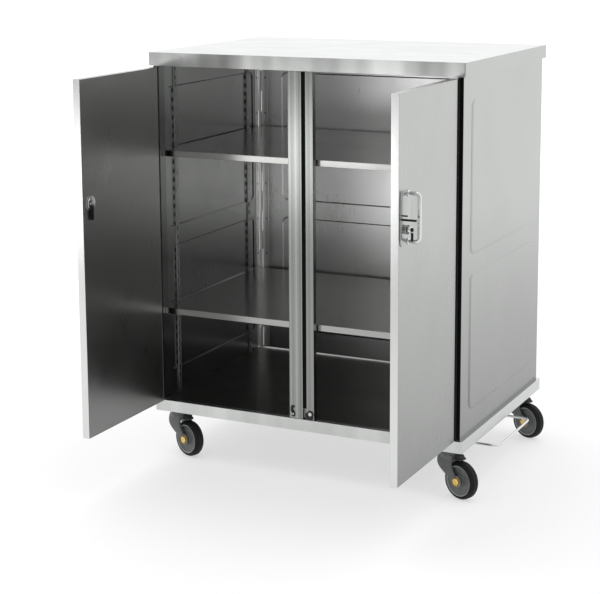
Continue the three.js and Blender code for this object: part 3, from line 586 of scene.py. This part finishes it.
def tube(path, radius, sides=16, closed=False):
    """A round bar along a path of points."""
    points = [Vector(p) for p in path]
    count = len(points)
    rings = []
    normal = None
    for i, point in enumerate(points):
        before = points[(i - 1) % count] if closed or i else point
        after = points[(i + 1) % count] if closed or i < count - 1 else point
        tangent = (after - before).normalized()
        if normal is None:
            guide = Vector((0, 0, 1)) if abs(tangent.z) < 0.9 else Vector((1, 0, 0))
            normal = tangent.cross(guide).normalized()
        normal = (normal - tangent * normal.dot(tangent)).normalized()
        side = tangent.cross(normal)
        ring = []
        for j in range(sides):
            angle = 2 * math.pi * j / sides
            ring.append(tuple(point + radius * (math.cos(angle) * normal + math.sin(angle) * side)))
        rings.append(ring)
    vertices, faces = loft(rings)
    if closed:
        faces = faces[2:]
        last = (count - 1) * sides
        faces += [(last + j, last + (j + 1) % sides, (j + 1) % sides, j) for j in range(sides)]
    return vertices, faces


def arc(centre, start, end, steps=8):
    """Points of a quarter circle from start to end round a centre."""
    centre, a, b = Vector(centre), Vector(start) - Vector(centre), Vector(end) - Vector(centre)
    angles = (math.pi / 2 * i / steps for i in range(steps + 1))
    return [centre + math.cos(t) * a + math.sin(t) * b for t in angles]


ALONG_X = Matrix.Rotation(math.radians(90), 4, "Y")
ALONG_Y = Matrix.Rotation(math.radians(-90), 4, "X")


def at(x, y, z, turn=None):
    matrix = Matrix.Translation((x, y, z))
    return matrix @ turn if turn is not None else matrix


# ---------------------------------------------------------------- castors

WHEEL = 0.050
TRAIL = 0.042
HOUSING_TOP = 0.1285
CROWN = 0.104
AXLE_HALF = 0.0195
AXLE_RADIUS = 0.0040


def tyre_mesh():
    """A black tread with rings moulded in its flanks; the axis is Z."""
    outline = [(0.0385, 0.0130), (0.0405, 0.0134), (0.0415, 0.0128), (0.0428, 0.0138)]
    outline += [(0.0440, 0.0130), (0.0452, 0.0136), (0.0464, 0.0122), (0.0480, 0.0104)]
    outline += [(0.0488, 0.0080), (0.0496, 0.0074), (0.0494, 0.0060), (0.0499, 0.0056)]
    outline += [(0.0500, 0.0020), (0.0495, 0.0012), (0.0495, 0.0)]
    profile = outline + [(radius, -height) for radius, height in reversed(outline[:-1])]
    return turned(profile, 72)


def hub_mesh():
    """A dished wheel centre with a raised lip near the tyre; the axis is Z."""
    half = [(0.0385, 0.0124), (0.0372, 0.0112), (0.0352, 0.0106), (0.0300, 0.0098)]
    half += [(0.0200, 0.0092), (0.0165, 0.0094), (0.0152, 0.0120), (0.0140, 0.0128)]
    half += [(0.0046, 0.0128)]
    profile = half + [(radius, -height) for radius, height in reversed(half)]
    return turned(profile, 64)


def lip_mesh(side):
    profile = [(0.0374, 0.0122), (0.0392, 0.0140), (0.0402, 0.0140)]
    profile += [(0.0398, 0.0126), (0.0384, 0.0118)]
    return turned([(radius, side * height) for radius, height in profile], 72)


def nut_mesh(side, radius, thickness, sides):
    low = side * AXLE_HALF
    high = side * (AXLE_HALF + thickness)
    outline = circle(0, 0, radius, sides)
    return soft_prism(outline, min(low, high), max(low, high), 0.0007)


def housing_mesh():
    outline = [(0, CROWN - 0.002), (0.0215, CROWN - 0.002), (0.0240, CROWN)]
    outline += [(0.0262, CROWN + 0.004)]
    outline += [(0.0268, CROWN + 0.012), (0.0270, CROWN + 0.0165), (0.0262, CROWN + 0.0172)]
    outline += [(0.0262, CROWN + 0.0184), (0.0270, CROWN + 0.0190), (0.0270, CROWN + 0.0216)]
    outline += [(0.0264, CROWN + 0.0224), (0.0150, CROWN + 0.0226), (0, CROWN + 0.0226)]
    return solid_turned(outline, 56)


def top_ring_mesh():
    low = HOUSING_TOP - 0.0015
    profile = [(0.012, low), (0.0282, low), (0.0288, low + 0.0008)]
    profile += [(0.0288, low + 0.0022), (0.012, low + 0.0022)]
    return turned(profile, 56)


def cheek_mesh(side):
    """One flank of the fork, blending from the housing down to a round end on the axle."""
    stations = [
        (0.1140, 0.0000, 0.0225, 0.0090, 0.0225),
        (0.1060, 0.0000, 0.0238, 0.0115, 0.0240),
        (0.0990, 0.0000, 0.0246, 0.0148, 0.0246),
        (0.0900, 0.0006, 0.0248, 0.0155, 0.0248),
        (0.0820, 0.0034, 0.0240, 0.0155, 0.0246),
        (0.0740, 0.0092, 0.0222, 0.0155, 0.0240),
        (0.0660, 0.0176, 0.0198, 0.0155, 0.0230),
        (0.0590, 0.0264, 0.0176, 0.0155, 0.0218),
        (0.0530, 0.0340, 0.0160, 0.0155, 0.0206),
        (0.0470, 0.0392, 0.0150, 0.0155, 0.0197),
        (0.0410, 0.0416, 0.0128, 0.0155, 0.0194),
        (0.0365, 0.0420, 0.0085, 0.0156, 0.0190),
        (0.0345, 0.0420, 0.0030, 0.0160, 0.0184),
    ]
    rings = []
    for height, centre, half, inner, outer in stations:
        middle = (inner + outer) / 2
        depth = (outer - inner) / 2
        ring = []
        for i in range(28):
            angle = 2 * math.pi * i / 28
            c, s = math.cos(angle), math.sin(angle)
            x = centre + half * math.copysign(abs(c) ** 0.55, c)
            y = middle + depth * math.copysign(abs(s) ** 0.55, s)
            ring.append((x, side * y, height))
        rings.append(ring)
    return loft(rings)


def pedal_mesh():
    """A stepped brake pedal with a ribbed tread, sticking out behind the housing."""
    front = 0.0282
    body = soft_prism(
        [(front, 0.1032), (0.0440, 0.1026), (0.0478, 0.1040), (0.0480, 0.1078), (0.0430, 0.1100),
         (0.0400, 0.1150), (0.0360, 0.1158), (front, 0.1158)],
        -0.0108, 0.0108, 0.0012, "XZ", 3,
    )
    ribs = [
        soft_box((0.0302 + 0.0032 * i, -0.0088, 0.1154), (0.0316 + 0.0032 * i, 0.0088, 0.1166),
                 0.0004, 1)
        for i in range(3)
    ]
    step = [
        soft_box((0.0438 + 0.0022 * i, -0.0088, 0.1076 - 0.0010 * i),
                 (0.0447 + 0.0022 * i, 0.0088, 0.1094 - 0.0010 * i), 0.0003, 1)
        for i in range(2)
    ]
    return merged(body, *ribs, *step)


def make_castor(place):
    pivot = Vector(JOINTS[f"{place}_swivel_turn"]["pos_m"])
    roll = JOINTS[f"{place}_wheel_roll"]
    hub = Vector(roll["pos_m"])
    trail = Vector((hub.x - pivot.x, hub.y - pivot.y, 0)).normalized()
    across = Vector((-trail.y, trail.x, 0))
    frame_of = Matrix((trail, across, Vector((0, 0, 1)))).transposed().to_4x4()
    castor = Matrix.Translation((pivot.x, pivot.y, 0)) @ frame_of
    wheel = Matrix.Translation(hub) @ frame_of @ ALONG_Y
    fork, tyre, disc, pedal = (f"{place}_{part}" for part in ("fork", "tyre", "hub", "brake_pedal"))
    on_axle = at(TRAIL, 0, WHEEL, ALONG_Y)
    rod = [(0, -AXLE_HALF), (AXLE_RADIUS, -AXLE_HALF), (AXLE_RADIUS, AXLE_HALF), (0, AXLE_HALF)]
    axle = moved(solid_turned(rod, 24), on_axle)
    shell = merged(housing_mesh(), cheek_mesh(1), cheek_mesh(-1), axle)
    build(f"{place}_fork_shell", *shell, fork, grey_paint, castor, (fork,), sharp=50)
    build(f"{place}_thread_guard", *top_ring_mesh(), fork, black_plastic, castor)
    build(f"{place}_tread", *tyre_mesh(), tyre, tread_rubber, wheel, (tyre,), sharp=60)
    build(f"{place}_wheel_centre", *hub_mesh(), disc, hub_grey, wheel, (disc,), sharp=50)
    build(f"{place}_wheel_lip", *merged(lip_mesh(1), lip_mesh(-1)), disc, pale_line, wheel)
    washers = merged(*[moved(nut_mesh(s, 0.0148, 0.0012, 32), on_axle) for s in (1, -1)])
    build(f"{place}_axle_washers", *washers, fork, olive, castor)
    nuts = merged(*[moved(nut_mesh(s, 0.0102, 0.0050, 6), on_axle) for s in (1, -1)])
    build(f"{place}_axle_nuts", *nuts, fork, brass, castor, sharp=30)
    build(f"{place}_pedal_tread", *pedal_mesh(), pedal, black_plastic, castor, (pedal,), sharp=30)


for place in ("front_left", "front_right", "rear_left", "rear_right"):
    make_castor(place)

# ---------------------------------------------------------------- right door: plate, grip, lock and key

DOOR_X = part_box("right_door_pan")[1].x
PLATE_WIDTH = 0.056
LOCK_Y = JOINTS["right_lock_turn"]["pos_m"][1]
LOCK_Z = JOINTS["right_lock_turn"]["pos_m"][2]
plate_low, plate_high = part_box("handle_escutcheon")
grip_low, grip_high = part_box("handle_grip")


def handle_plate():
    """A thin plate with round corners."""
    middle = (plate_low.y + plate_high.y) / 2
    height = plate_high.z - plate_low.z
    outline = rounded(middle, (plate_low.z + plate_high.z) / 2, PLATE_WIDTH, height, 0.012, 8)
    return soft_prism(outline, DOOR_X + 0.0003, DOOR_X + 0.0020, 0.0007, "YZ", 3)


def pegged(radius, low, high, y, z, soft=0.0006, sides=32):
    return soft_prism(circle(y, z, radius, sides), low, high, soft, "YZ")


plate_piece = handle_plate()
boss = pegged(0.0105, DOOR_X + 0.0018, DOOR_X + 0.0085, LOCK_Y, LOCK_Z, 0.0012)
build("handle_plate", *merged(plate_piece, boss), "handle_escutcheon", plate_steel, None,
      ("handle_escutcheon",), sharp=35)
boss_rim = turned([(0.0088, 0), (0.0112, 0), (0.0112, 0.0010), (0.0088, 0.0010)], 40)
build("boss_ring", *moved(boss_rim, at(DOOR_X + 0.0080, LOCK_Y, LOCK_Z, ALONG_X)),
      "handle_escutcheon", lock_dark)
slot_z = LOCK_Z + 0.0245
lever = merged(
    soft_box((DOOR_X + 0.0012, LOCK_Y - 0.0155, slot_z - 0.0024),
             (DOOR_X + 0.0350, LOCK_Y - 0.0105, slot_z + 0.0024), 0.0012),
    soft_box((DOOR_X + 0.0012, LOCK_Y - 0.0165, slot_z + 0.0080),
             (DOOR_X + 0.0140, LOCK_Y - 0.0120, slot_z + 0.0112), 0.0010),
)
build("latch_lever", *lever, "handle_escutcheon", lock_dark)

grip_x = (grip_low.y + grip_high.y) / 2
radius = (grip_high.y - grip_low.y) / 2
out = grip_high.x - radius
top = grip_high.z - radius
low = grip_low.z + radius
bend = 0.009
foot = DOOR_X + 0.0020
path = [Vector((foot, grip_x, top)), Vector((foot + 0.004, grip_x, top))]
path += arc((out - bend, grip_x, top - bend), (out - bend, grip_x, top), (out, grip_x, top - bend))
path += [Vector((out, grip_x, top - bend - (top - low - 2 * bend) * i / 6)) for i in range(1, 6)]
path += arc((out - bend, grip_x, low + bend), (out, grip_x, low + bend), (out - bend, grip_x, low))
path += [Vector((foot + 0.004, grip_x, low)), Vector((foot, grip_x, low))]
foot_outline = [(0, 0), (0.0078, 0), (0.0080, 0.0010), (0.0072, 0.0026), (0.0056, 0.0032)]
foot_outline += [(0, 0.0032)]
feet = [moved(solid_turned(foot_outline, 32), at(foot, grip_x, z, ALONG_X)) for z in (top, low)]
build("handle_bar", *merged(tube(path, radius, 20), *feet), "handle_grip", chrome, None,
      ("handle_grip",))

plug_front = DOOR_X + 0.0110
plug = pegged(0.0072, DOOR_X + 0.0040, plug_front + 0.0060, LOCK_Y, LOCK_Z, 0.0006)
shaft = pegged(0.0055, DOOR_X - 0.0260, DOOR_X + 0.0045, LOCK_Y, LOCK_Z)
cam_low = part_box("right_lock")[0]
CAM_RADIUS = 0.007


def cam_mesh(x0, x1, y, z, length=0.044):
    """A lock cam with a round end that hangs below its shaft."""
    half_turn = [math.pi * i / 10 for i in range(11)]
    outline = [
        (y + CAM_RADIUS * math.cos(a), z + 0.001 + CAM_RADIUS * math.sin(a)) for a in half_turn
    ]
    outline += [
        (y + CAM_RADIUS * math.cos(math.pi + a),
         z - length + CAM_RADIUS + CAM_RADIUS * math.sin(math.pi + a))
        for a in half_turn
    ]
    return soft_prism(outline, min(x0, x1), max(x0, x1), 0.0005, "YZ")


right_cam = cam_mesh(cam_low.x, cam_low.x + 0.0025, LOCK_Y, LOCK_Z)
right_nut = pegged(0.0085, cam_low.x - 0.0002, cam_low.x + 0.0052, LOCK_Y, LOCK_Z, 0.0008, 6)
build("lock_plug", *merged(plug, shaft, right_cam, right_nut), "right_lock", lock_steel, None,
      ("right_lock",), sharp=30)
bow_x = plug_front + 0.0080
bow = soft_prism(rounded(bow_x, LOCK_Z - 0.0165, 0.0056, 0.0200, 0.0020, 5),
                 LOCK_Y - 0.0012, LOCK_Y + 0.0012, 0.0004, "XZ")
collar = pegged(0.0046, plug_front + 0.0058, bow_x + 0.0024, LOCK_Y, LOCK_Z, 0.0006)
build("key", *merged(bow, collar), "right_lock", lock_dark)

# ---------------------------------------------------------------- left door: flush lock with its nut and cam

left_low, left_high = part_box("left_door_pan")
left_x, left_z = left_low.x, LOCK_Z
left_y = JOINTS["left_lock_turn"]["pos_m"][1]
house_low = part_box("left_lock_housing")[0]
flange = pegged(0.0120, house_low.x, left_x - 0.0002, left_y, left_z, 0.0008)
sleeve = pegged(0.0088, left_x - 0.0004, left_high.x + 0.0022, left_y, left_z, 0.0006)
nut = merged(pegged(0.0200, left_high.x + 0.0003, left_high.x + 0.0012, left_y, left_z, 0.0004, 40),
             pegged(0.0135, left_high.x + 0.0008, left_high.x + 0.0026, left_y, left_z, 0.0008, 32))
build("left_lock_case", *merged(flange, sleeve, nut), "left_lock_housing", lock_steel, None,
      ("left_lock_housing",), sharp=30)
key_low, key_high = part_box("left_lock")
left_cam = cam_mesh(key_high.x - 0.0025, key_high.x, left_y, left_z)
left_core = pegged(0.0058, key_low.x + 0.0004, key_high.x - 0.0002, left_y, left_z)
build("left_lock_cam", *merged(left_cam, left_core), "left_lock", lock_dark, None,
      ("left_lock",), sharp=30)
cap = pegged(0.0080, key_high.x - 0.0024, key_high.x + 0.0002, left_y, left_z, 0.0009, 6)
build("left_lock_nut", *cap, "left_lock", lock_steel)
keyhole = soft_box((key_low.x - 0.0001, left_y - 0.0007, left_z - 0.0036),
                   (key_low.x + 0.0010, left_y + 0.0007, left_z + 0.0036), 0.0002)
build("left_keyhole", *keyhole, "left_lock", lock_dark)

# ---------------------------------------------------------------- rear latch

latch_low, latch_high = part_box("rear_latch")
latch = JOINTS["rear_latch_turn"]["pos_m"]
knob_outline = [(0, 0.0008), (0.0125, 0.0008), (0.0138, 0.0022), (0.0138, 0.0110)]
knob_outline += [(0.0126, 0.0132), (0.0060, 0.0138), (0, 0.0138)]
knob_y = latch_high.y - 0.0140
on_latch = at(latch[0], knob_y, latch[2], ALONG_Y)
knob = moved(solid_turned(knob_outline, 40), on_latch)
wing = soft_box((latch[0] - 0.0028, latch_high.y - 0.0030, latch[2] - 0.0120),
                (latch[0] + 0.0028, latch_high.y - 0.0001, latch[2] + 0.0120), 0.0012)
stem_outline = [(0, -0.0048), (0.0056, -0.0048), (0.0056, 0.0010), (0, 0.0010)]
stem = moved(solid_turned(stem_outline, 28), on_latch)
arm = soft_prism(rounded(latch[0], latch[2] - 0.018, 0.014, 0.050, 0.0068),
                 latch_low.y, latch_low.y + 0.0025, 0.0005, "XZ")
build("rear_latch_knob", *merged(knob, wing, stem, arm), "rear_latch", lock_steel, None,
      ("rear_latch",), sharp=35)

# ---------------------------------------------------------------- shelf strips

SLOT_PITCH = 0.025
SLOT_HEIGHT = 0.013


def strip_mesh(side, low, high):
    """A slotted strip: two folded rails joined by rungs, standing on the side panel."""
    wall = low.x if side < 0 else high.x
    face = wall - side * 0.003
    back = wall - side * 0.0002
    y0, y1 = low.y, high.y
    slot0, slot1 = y0 + 0.0045, y1 - 0.0045
    lo, hi = sorted((face, face + side * 0.0012))
    parts = []
    for a, b in ((y0, slot0), (slot1, y1)):
        parts.append(soft_box((lo, a, low.z), (hi, b, high.z), 0.0003, 1))
    for a, b in ((y0, y0 + 0.0012), (y1 - 0.0012, y1)):
        parts.append(soft_box((min(face, back), a, low.z), (max(face, back), b, high.z), 0.0003, 1))
    count = int((high.z - low.z) / SLOT_PITCH)
    start = low.z + ((high.z - low.z) - count * SLOT_PITCH) / 2
    for i in range(count + 1):
        z0 = max(low.z, start + i * SLOT_PITCH - (SLOT_PITCH - SLOT_HEIGHT) / 2)
        z1 = min(high.z, start + i * SLOT_PITCH + (SLOT_PITCH - SLOT_HEIGHT) / 2)
        parts.append(soft_box((lo, slot0 - 0.0002, z0), (hi, slot1 + 0.0002, z1), 0.0003, 1))
    return parts, face


def clip_mesh(side, face, y0, y1, under):
    """A folded clip: a hook through the slot and a shelf rest."""
    tip = face - side * 0.0095
    middle = (y0 + y1) / 2
    rest = soft_box((min(face, tip), middle - 0.0055, under - 0.0016),
                    (max(face, tip), middle + 0.0055, under - 0.0001), 0.0004)
    flag = soft_box((min(face, face - side * 0.0014), middle - 0.0055, under - 0.0080),
                    (max(face, face - side * 0.0014), middle + 0.0055, under - 0.0004), 0.0004)
    web = soft_prism([(face, under - 0.0078), (face, under - 0.001), (tip, under - 0.001)],
                     middle - 0.0007, middle + 0.0007, 0.0002, "XZ", 1)
    return [rest, flag, web]


shelf_tops = [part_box("upper_shelf")[1].z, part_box("lower_shelf")[1].z]
for word, side in (("left", -1), ("right", 1)):
    for place in ("front", "rear"):
        node = f"{word}_{place}_shelf_strip"
        low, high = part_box(node)
        parts, face = strip_mesh(side, low, high)
        for shelf_top in shelf_tops:
            parts += clip_mesh(side, face, low.y, high.y, shelf_top - 0.0018)
        build(f"{node}_slotted", *merged(*parts), node, zinc, None, (node,), sharp=30)

# ---------------------------------------------------------------- piano hinges

KNUCKLES = 15
KNUCKLE_RADIUS = 0.0040
KNUCKLE_GAP = 0.0006
LEAF = 0.0012
SCREWS = 8


def knuckle_mesh(hinge, z0, length, first):
    """Every second knuckle of a hinge's barrel, each with softened ends."""
    pitch = length / KNUCKLES
    x, y, _ = hinge
    parts = []
    for i in range(first, KNUCKLES, 2):
        low = z0 + i * pitch + KNUCKLE_GAP / 2
        high = z0 + (i + 1) * pitch - KNUCKLE_GAP / 2
        profile = [(0.0019, low), (KNUCKLE_RADIUS - 0.0005, low), (KNUCKLE_RADIUS, low + 0.0005)]
        profile += [(KNUCKLE_RADIUS, high - 0.0005), (KNUCKLE_RADIUS - 0.0005, high)]
        profile += [(0.0019, high)]
        parts.append(moved(turned(profile, 24), Matrix.Translation((x, y, 0))))
    return parts


def lug_mesh(x0, x1, y0, y1, z0, length, first):
    """The strips that join a leaf to its own knuckles."""
    pitch = length / KNUCKLES
    parts = []
    for i in range(first, KNUCKLES, 2):
        low = z0 + i * pitch + KNUCKLE_GAP / 2
        high = z0 + (i + 1) * pitch - KNUCKLE_GAP / 2
        parts.append(soft_box((min(x0, x1), min(y0, y1), low),
                              (max(x0, x1), max(y0, y1), high), 0.0001, 1))
    return parts


def screw_heads(points, turn):
    """Low countersunk heads whose faces look along the turned Z."""
    outline = [(0, 0.0), (0.0030, 0.0), (0.0031, 0.0003), (0.0027, 0.0009), (0.0010, 0.0011)]
    outline += [(0, 0.0008)]
    return merged(*[moved(solid_turned(outline, 20), at(*point, turn)) for point in points])


def hinge_pins(node, hinge):
    """The pin's two peened ends and its shaft."""
    low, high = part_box(node)
    outline = [(0, low.z), (0.0014, low.z), (0.0016, low.z + 0.0003)]
    outline += [(0.0016, high.z - 0.0003), (0.0014, high.z), (0, high.z)]
    pin = moved(solid_turned(outline, 20), Matrix.Translation((hinge[0], hinge[1], 0)))
    build(f"{node}_shaft", *pin, node, barrel_steel, None, (node,))


for word, side in (("left", -1), ("right", 1)):
    hinge = JOINTS[f"{word}_door_hinge"]["pos_m"]
    x, y, z0 = hinge
    fixed, moving, pin = (f"{word}_hinge_{part}" for part in ("fixed_leaf", "moving_leaf", "pin"))
    low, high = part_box(fixed)
    length = high.z - low.z
    hinge_pins(pin, hinge)
    near, far = sorted((x + side * 0.0102, x - side * 0.0025))
    plate = soft_box((max(low.x, near), y + 0.0043, low.z),
                     (min(high.x, far), high.y, high.z), 0.0002, 1)
    lugs = lug_mesh(x - 0.0012, x + 0.0012, y + 0.0030, y + 0.0046, z0, length, 0)
    # Painted shade: the front hinges' leaves and knuckles take a near-black colour for the shade in the
    # hinge recess.
    build(f"{fixed}_round", *merged(plate, *lugs, *knuckle_mesh(hinge, z0, length, 0)),
          fixed, hinge_dark, None, (fixed,))
    low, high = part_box(moving)
    plate = soft_box((x - LEAF / 2, low.y, z0), (x + LEAF / 2, y - 0.0043, z0 + length), 0.0002, 1)
    flange = soft_box((low.x if side > 0 else x - LEAF / 2, low.y, z0),
                      (x + LEAF / 2 if side > 0 else high.x, low.y + LEAF, z0 + length),
                      0.0002, 1)
    lugs = lug_mesh(x - LEAF / 2, x + LEAF / 2, y - 0.0050, y - 0.0030, z0, length, 1)
    build(f"{moving}_round",
          *merged(plate, flange, *lugs, *knuckle_mesh(hinge, z0, length, 1)),
          moving, hinge_dark, None, (moving,))
    # Painted shade: a near-black strip on the moving leaf, standing in for the shade in the hinge gap.
    strip_x = x + side * LEAF / 2
    strip = soft_box((min(strip_x, strip_x + side * 0.0006), low.y + 0.0004, z0 + 0.001),
                     (max(strip_x, strip_x + side * 0.0006), y - 0.0046, z0 + length - 0.001),
                     0.0002, 1)
    build(f"{word}_leaf_shade_strip", *strip, moving, seal_rubber)
    heights = [z0 + length * (i + 0.75) / (SCREWS + 0.5) for i in range(SCREWS)]
    turn = Matrix.Rotation(math.radians(-90 * side), 4, "Y")
    heads = screw_heads([(x - side * LEAF / 2, y - 0.0125, z) for z in heights], turn)
    build(f"{word}_leaf_screws", *heads, moving, zinc)

# The rear hinge takes the front hinges' length and screw heights.
hinge = JOINTS["rear_door_hinge"]["pos_m"]
x, y, z0 = hinge
hinge_pins("rear_hinge_pin", hinge)
low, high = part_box("rear_hinge_fixed_leaf")
plate = soft_box((low.x, low.y, z0), (low.x + LEAF, y - 0.001, z0 + length), 0.0002, 1)
lugs = lug_mesh(low.x, x, y - 0.0032, y - 0.0020, z0, length, 0)
build("rear_fixed_leaf_round", *merged(plate, *lugs, *knuckle_mesh(hinge, z0, length, 0)),
      "rear_hinge_fixed_leaf", barrel_steel, None, ("rear_hinge_fixed_leaf",))
wall_heads = screw_heads([(low.x + LEAF, y - 0.0130, z) for z in heights], ALONG_X)
build("rear_wall_screws", *wall_heads, "rear_hinge_fixed_leaf", zinc)
low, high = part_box("rear_hinge_moving_leaf")
plate = soft_box((x + 0.0045, high.y - LEAF, z0), (high.x, high.y, z0 + length), 0.0002, 1)
lugs = lug_mesh(x + 0.0010, x + 0.0050, high.y - LEAF, high.y, z0, length, 1)
build("rear_moving_leaf_round", *merged(plate, *lugs, *knuckle_mesh(hinge, z0, length, 1)),
      "rear_hinge_moving_leaf", barrel_steel, None, ("rear_hinge_moving_leaf",))
FACING_FRONT = Matrix.Rotation(math.radians(90), 4, "X")
rear_heads = screw_heads([(x + 0.0170, high.y - LEAF, z) for z in heights], FACING_FRONT)
build("rear_leaf_screws", *rear_heads, "rear_hinge_moving_leaf", zinc)

# ---------------------------------------------------------------- catches on the mullion's foot

button_low, button_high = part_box("left_turn_button")
bx, _, bz = JOINTS["turn_button_turn"]["pos_m"]
hook = [(-0.0030, -0.0080), (0.0052, -0.0080), (0.0058, -0.0010), (0.0040, 0.0050)]
hook += [(-0.0002, 0.0095), (-0.0004, 0.0140), (0.0040, 0.0160), (0.0042, 0.0218)]
hook += [(-0.0040, 0.0218), (-0.0056, 0.0160), (-0.0056, 0.0080), (-0.0036, 0.0030)]
hook += [(0.0000, -0.0020), (-0.0030, -0.0044)]
button = soft_prism([(bx + x, bz + z) for x, z in hook], button_low.y, button_high.y,
                    0.0006, "XZ")
rivet = moved(solid_turned([(0, 0), (0.0030, 0), (0.0028, 0.0006), (0, 0.0009)], 20),
              at(bx + 0.002, button_low.y + 0.0002, bz - 0.001, FACING_FRONT))
build("turn_button_hook", *button, "left_turn_button", black_plastic, None, ("left_turn_button",))
build("turn_button_rivet", *rivet, "left_turn_button", zinc)

case_low, case_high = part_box("right_catch_case")
cx = (case_low.x + case_high.x) / 2
plunger_low, plunger_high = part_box("right_catch_plunger")
pz = (plunger_low.z + plunger_high.z) / 2
on_case = at(cx, case_high.y, pz, FACING_FRONT)
ring_profile = [(0.0055, 0.0), (0.0098, 0.0), (0.0100, 0.0008), (0.0090, 0.0028)]
ring_profile += [(0.0062, 0.0028), (0.0055, 0.0018)]
ring = moved(turned(ring_profile, 36), on_case)
foot_block = soft_box((case_low.x, case_low.y + 0.0004, case_low.z),
                      (case_high.x - 0.002, case_high.y, case_low.z + 0.0085), 0.0010)
groove_block = soft_box((case_low.x - 0.0035, case_low.y + 0.0010, case_low.z),
                        (case_low.x + 0.001, case_high.y, case_low.z + 0.0180), 0.0008)
build("catch_ring", *merged(ring, foot_block, groove_block), "right_catch_case",
      black_plastic, None, ("right_catch_case",))
face_outline = [(0, 0), (0.0050, 0), (0.0052, 0.0012), (0.0042, 0.0022), (0, 0.0026)]
build("catch_button", *moved(solid_turned(face_outline, 32), on_case), "right_catch_plunger",
      white_plastic, None, ("right_catch_plunger",))

# ---------------------------------------------------------------- tow bail and its clips

bail_low, bail_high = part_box("tow_bail")
rod = (bail_high.z - bail_low.z) / 2
bail_z = (bail_high.z + bail_low.z) / 2
x0, x1 = bail_low.x + rod, bail_high.x - rod
y0, y1 = bail_low.y + rod, bail_high.y - rod
corner = 0.024
CLIP_RADIUS = 0.0078
path = arc((x0 + corner, y0 + corner, bail_z), (x0, y0 + corner, bail_z), (x0 + corner, y0, bail_z))
path += arc((x1 - corner, y0 + corner, bail_z), (x1 - corner, y0, bail_z), (x1, y0 + corner, bail_z))
path += arc((x1 - corner, y1 - corner, bail_z), (x1, y1 - corner, bail_z), (x1 - corner, y1, bail_z))
path += arc((x0 + corner, y1 - corner, bail_z), (x0 + corner, y1, bail_z), (x0, y1 - corner, bail_z))
build("bail_rod", *tube(path, rod, 16, closed=True), "tow_bail", chrome, None, ("tow_bail",))
for place in ("front", "rear"):
    node = f"{place}_bail_clip"
    low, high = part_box(node)
    middle = (low.x + high.x) / 2
    angles = (math.pi * i / 12 for i in range(12, 25))
    outline = [
        (middle + CLIP_RADIUS * math.cos(a), bail_z + CLIP_RADIUS * math.sin(a)) for a in angles
    ]
    outline += [(middle + CLIP_RADIUS, bail_z + 0.0095), (middle + 0.0030, bail_z + 0.0140)]
    outline += [(middle + 0.0020, high.z), (middle - 0.0020, high.z)]
    outline += [(middle - 0.0030, bail_z + 0.0140), (middle - CLIP_RADIUS, bail_z + 0.0095)]
    cheeks = soft_prism(outline, low.y, high.y, 0.0008, "XZ")
    build(f"{node}_bracket", *cheeks, node, black_plastic, None, (node,), sharp=35)

# ---------------------------------------------------------------- black strip in the mullion's groove

groove_low, groove_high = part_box("mullion")
GROOVE_START = 0.0392
GROOVE_WIDTH = 0.0106
strip = soft_box(
    (groove_low.x + GROOVE_START, groove_low.y + 0.0030, groove_low.z + 0.030),
    (groove_low.x + GROOVE_START + GROOVE_WIDTH, groove_low.y + 0.0086, groove_high.z - 0.001),
    0.0006, 2)
build("mullion_strip", *strip, "mullion", seal_rubber)

# ---------------------------------------------------------------- dark sheet on the tray floor, painted shade inside the cabinet

left_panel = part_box("left_side_panel")
right_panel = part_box("right_side_panel")
tray_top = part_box("base_tray")[1].z
SHADE_SHEET_THICKNESS = 0.0004
FLOOR_INSET = 0.004
# Painted shade: a thin near-black sheet over the tray floor.
shade_sheet = soft_box(
    (left_panel[0].x + FLOOR_INSET, left_panel[0].y + FLOOR_INSET, tray_top - SHADE_SHEET_THICKNESS / 2),
    (right_panel[1].x - FLOOR_INSET, left_panel[1].y - FLOOR_INSET, tray_top + SHADE_SHEET_THICKNESS),
    0.0001, 1)
build("tray_floor_sheet", *shade_sheet, "base_tray", floor_steel)
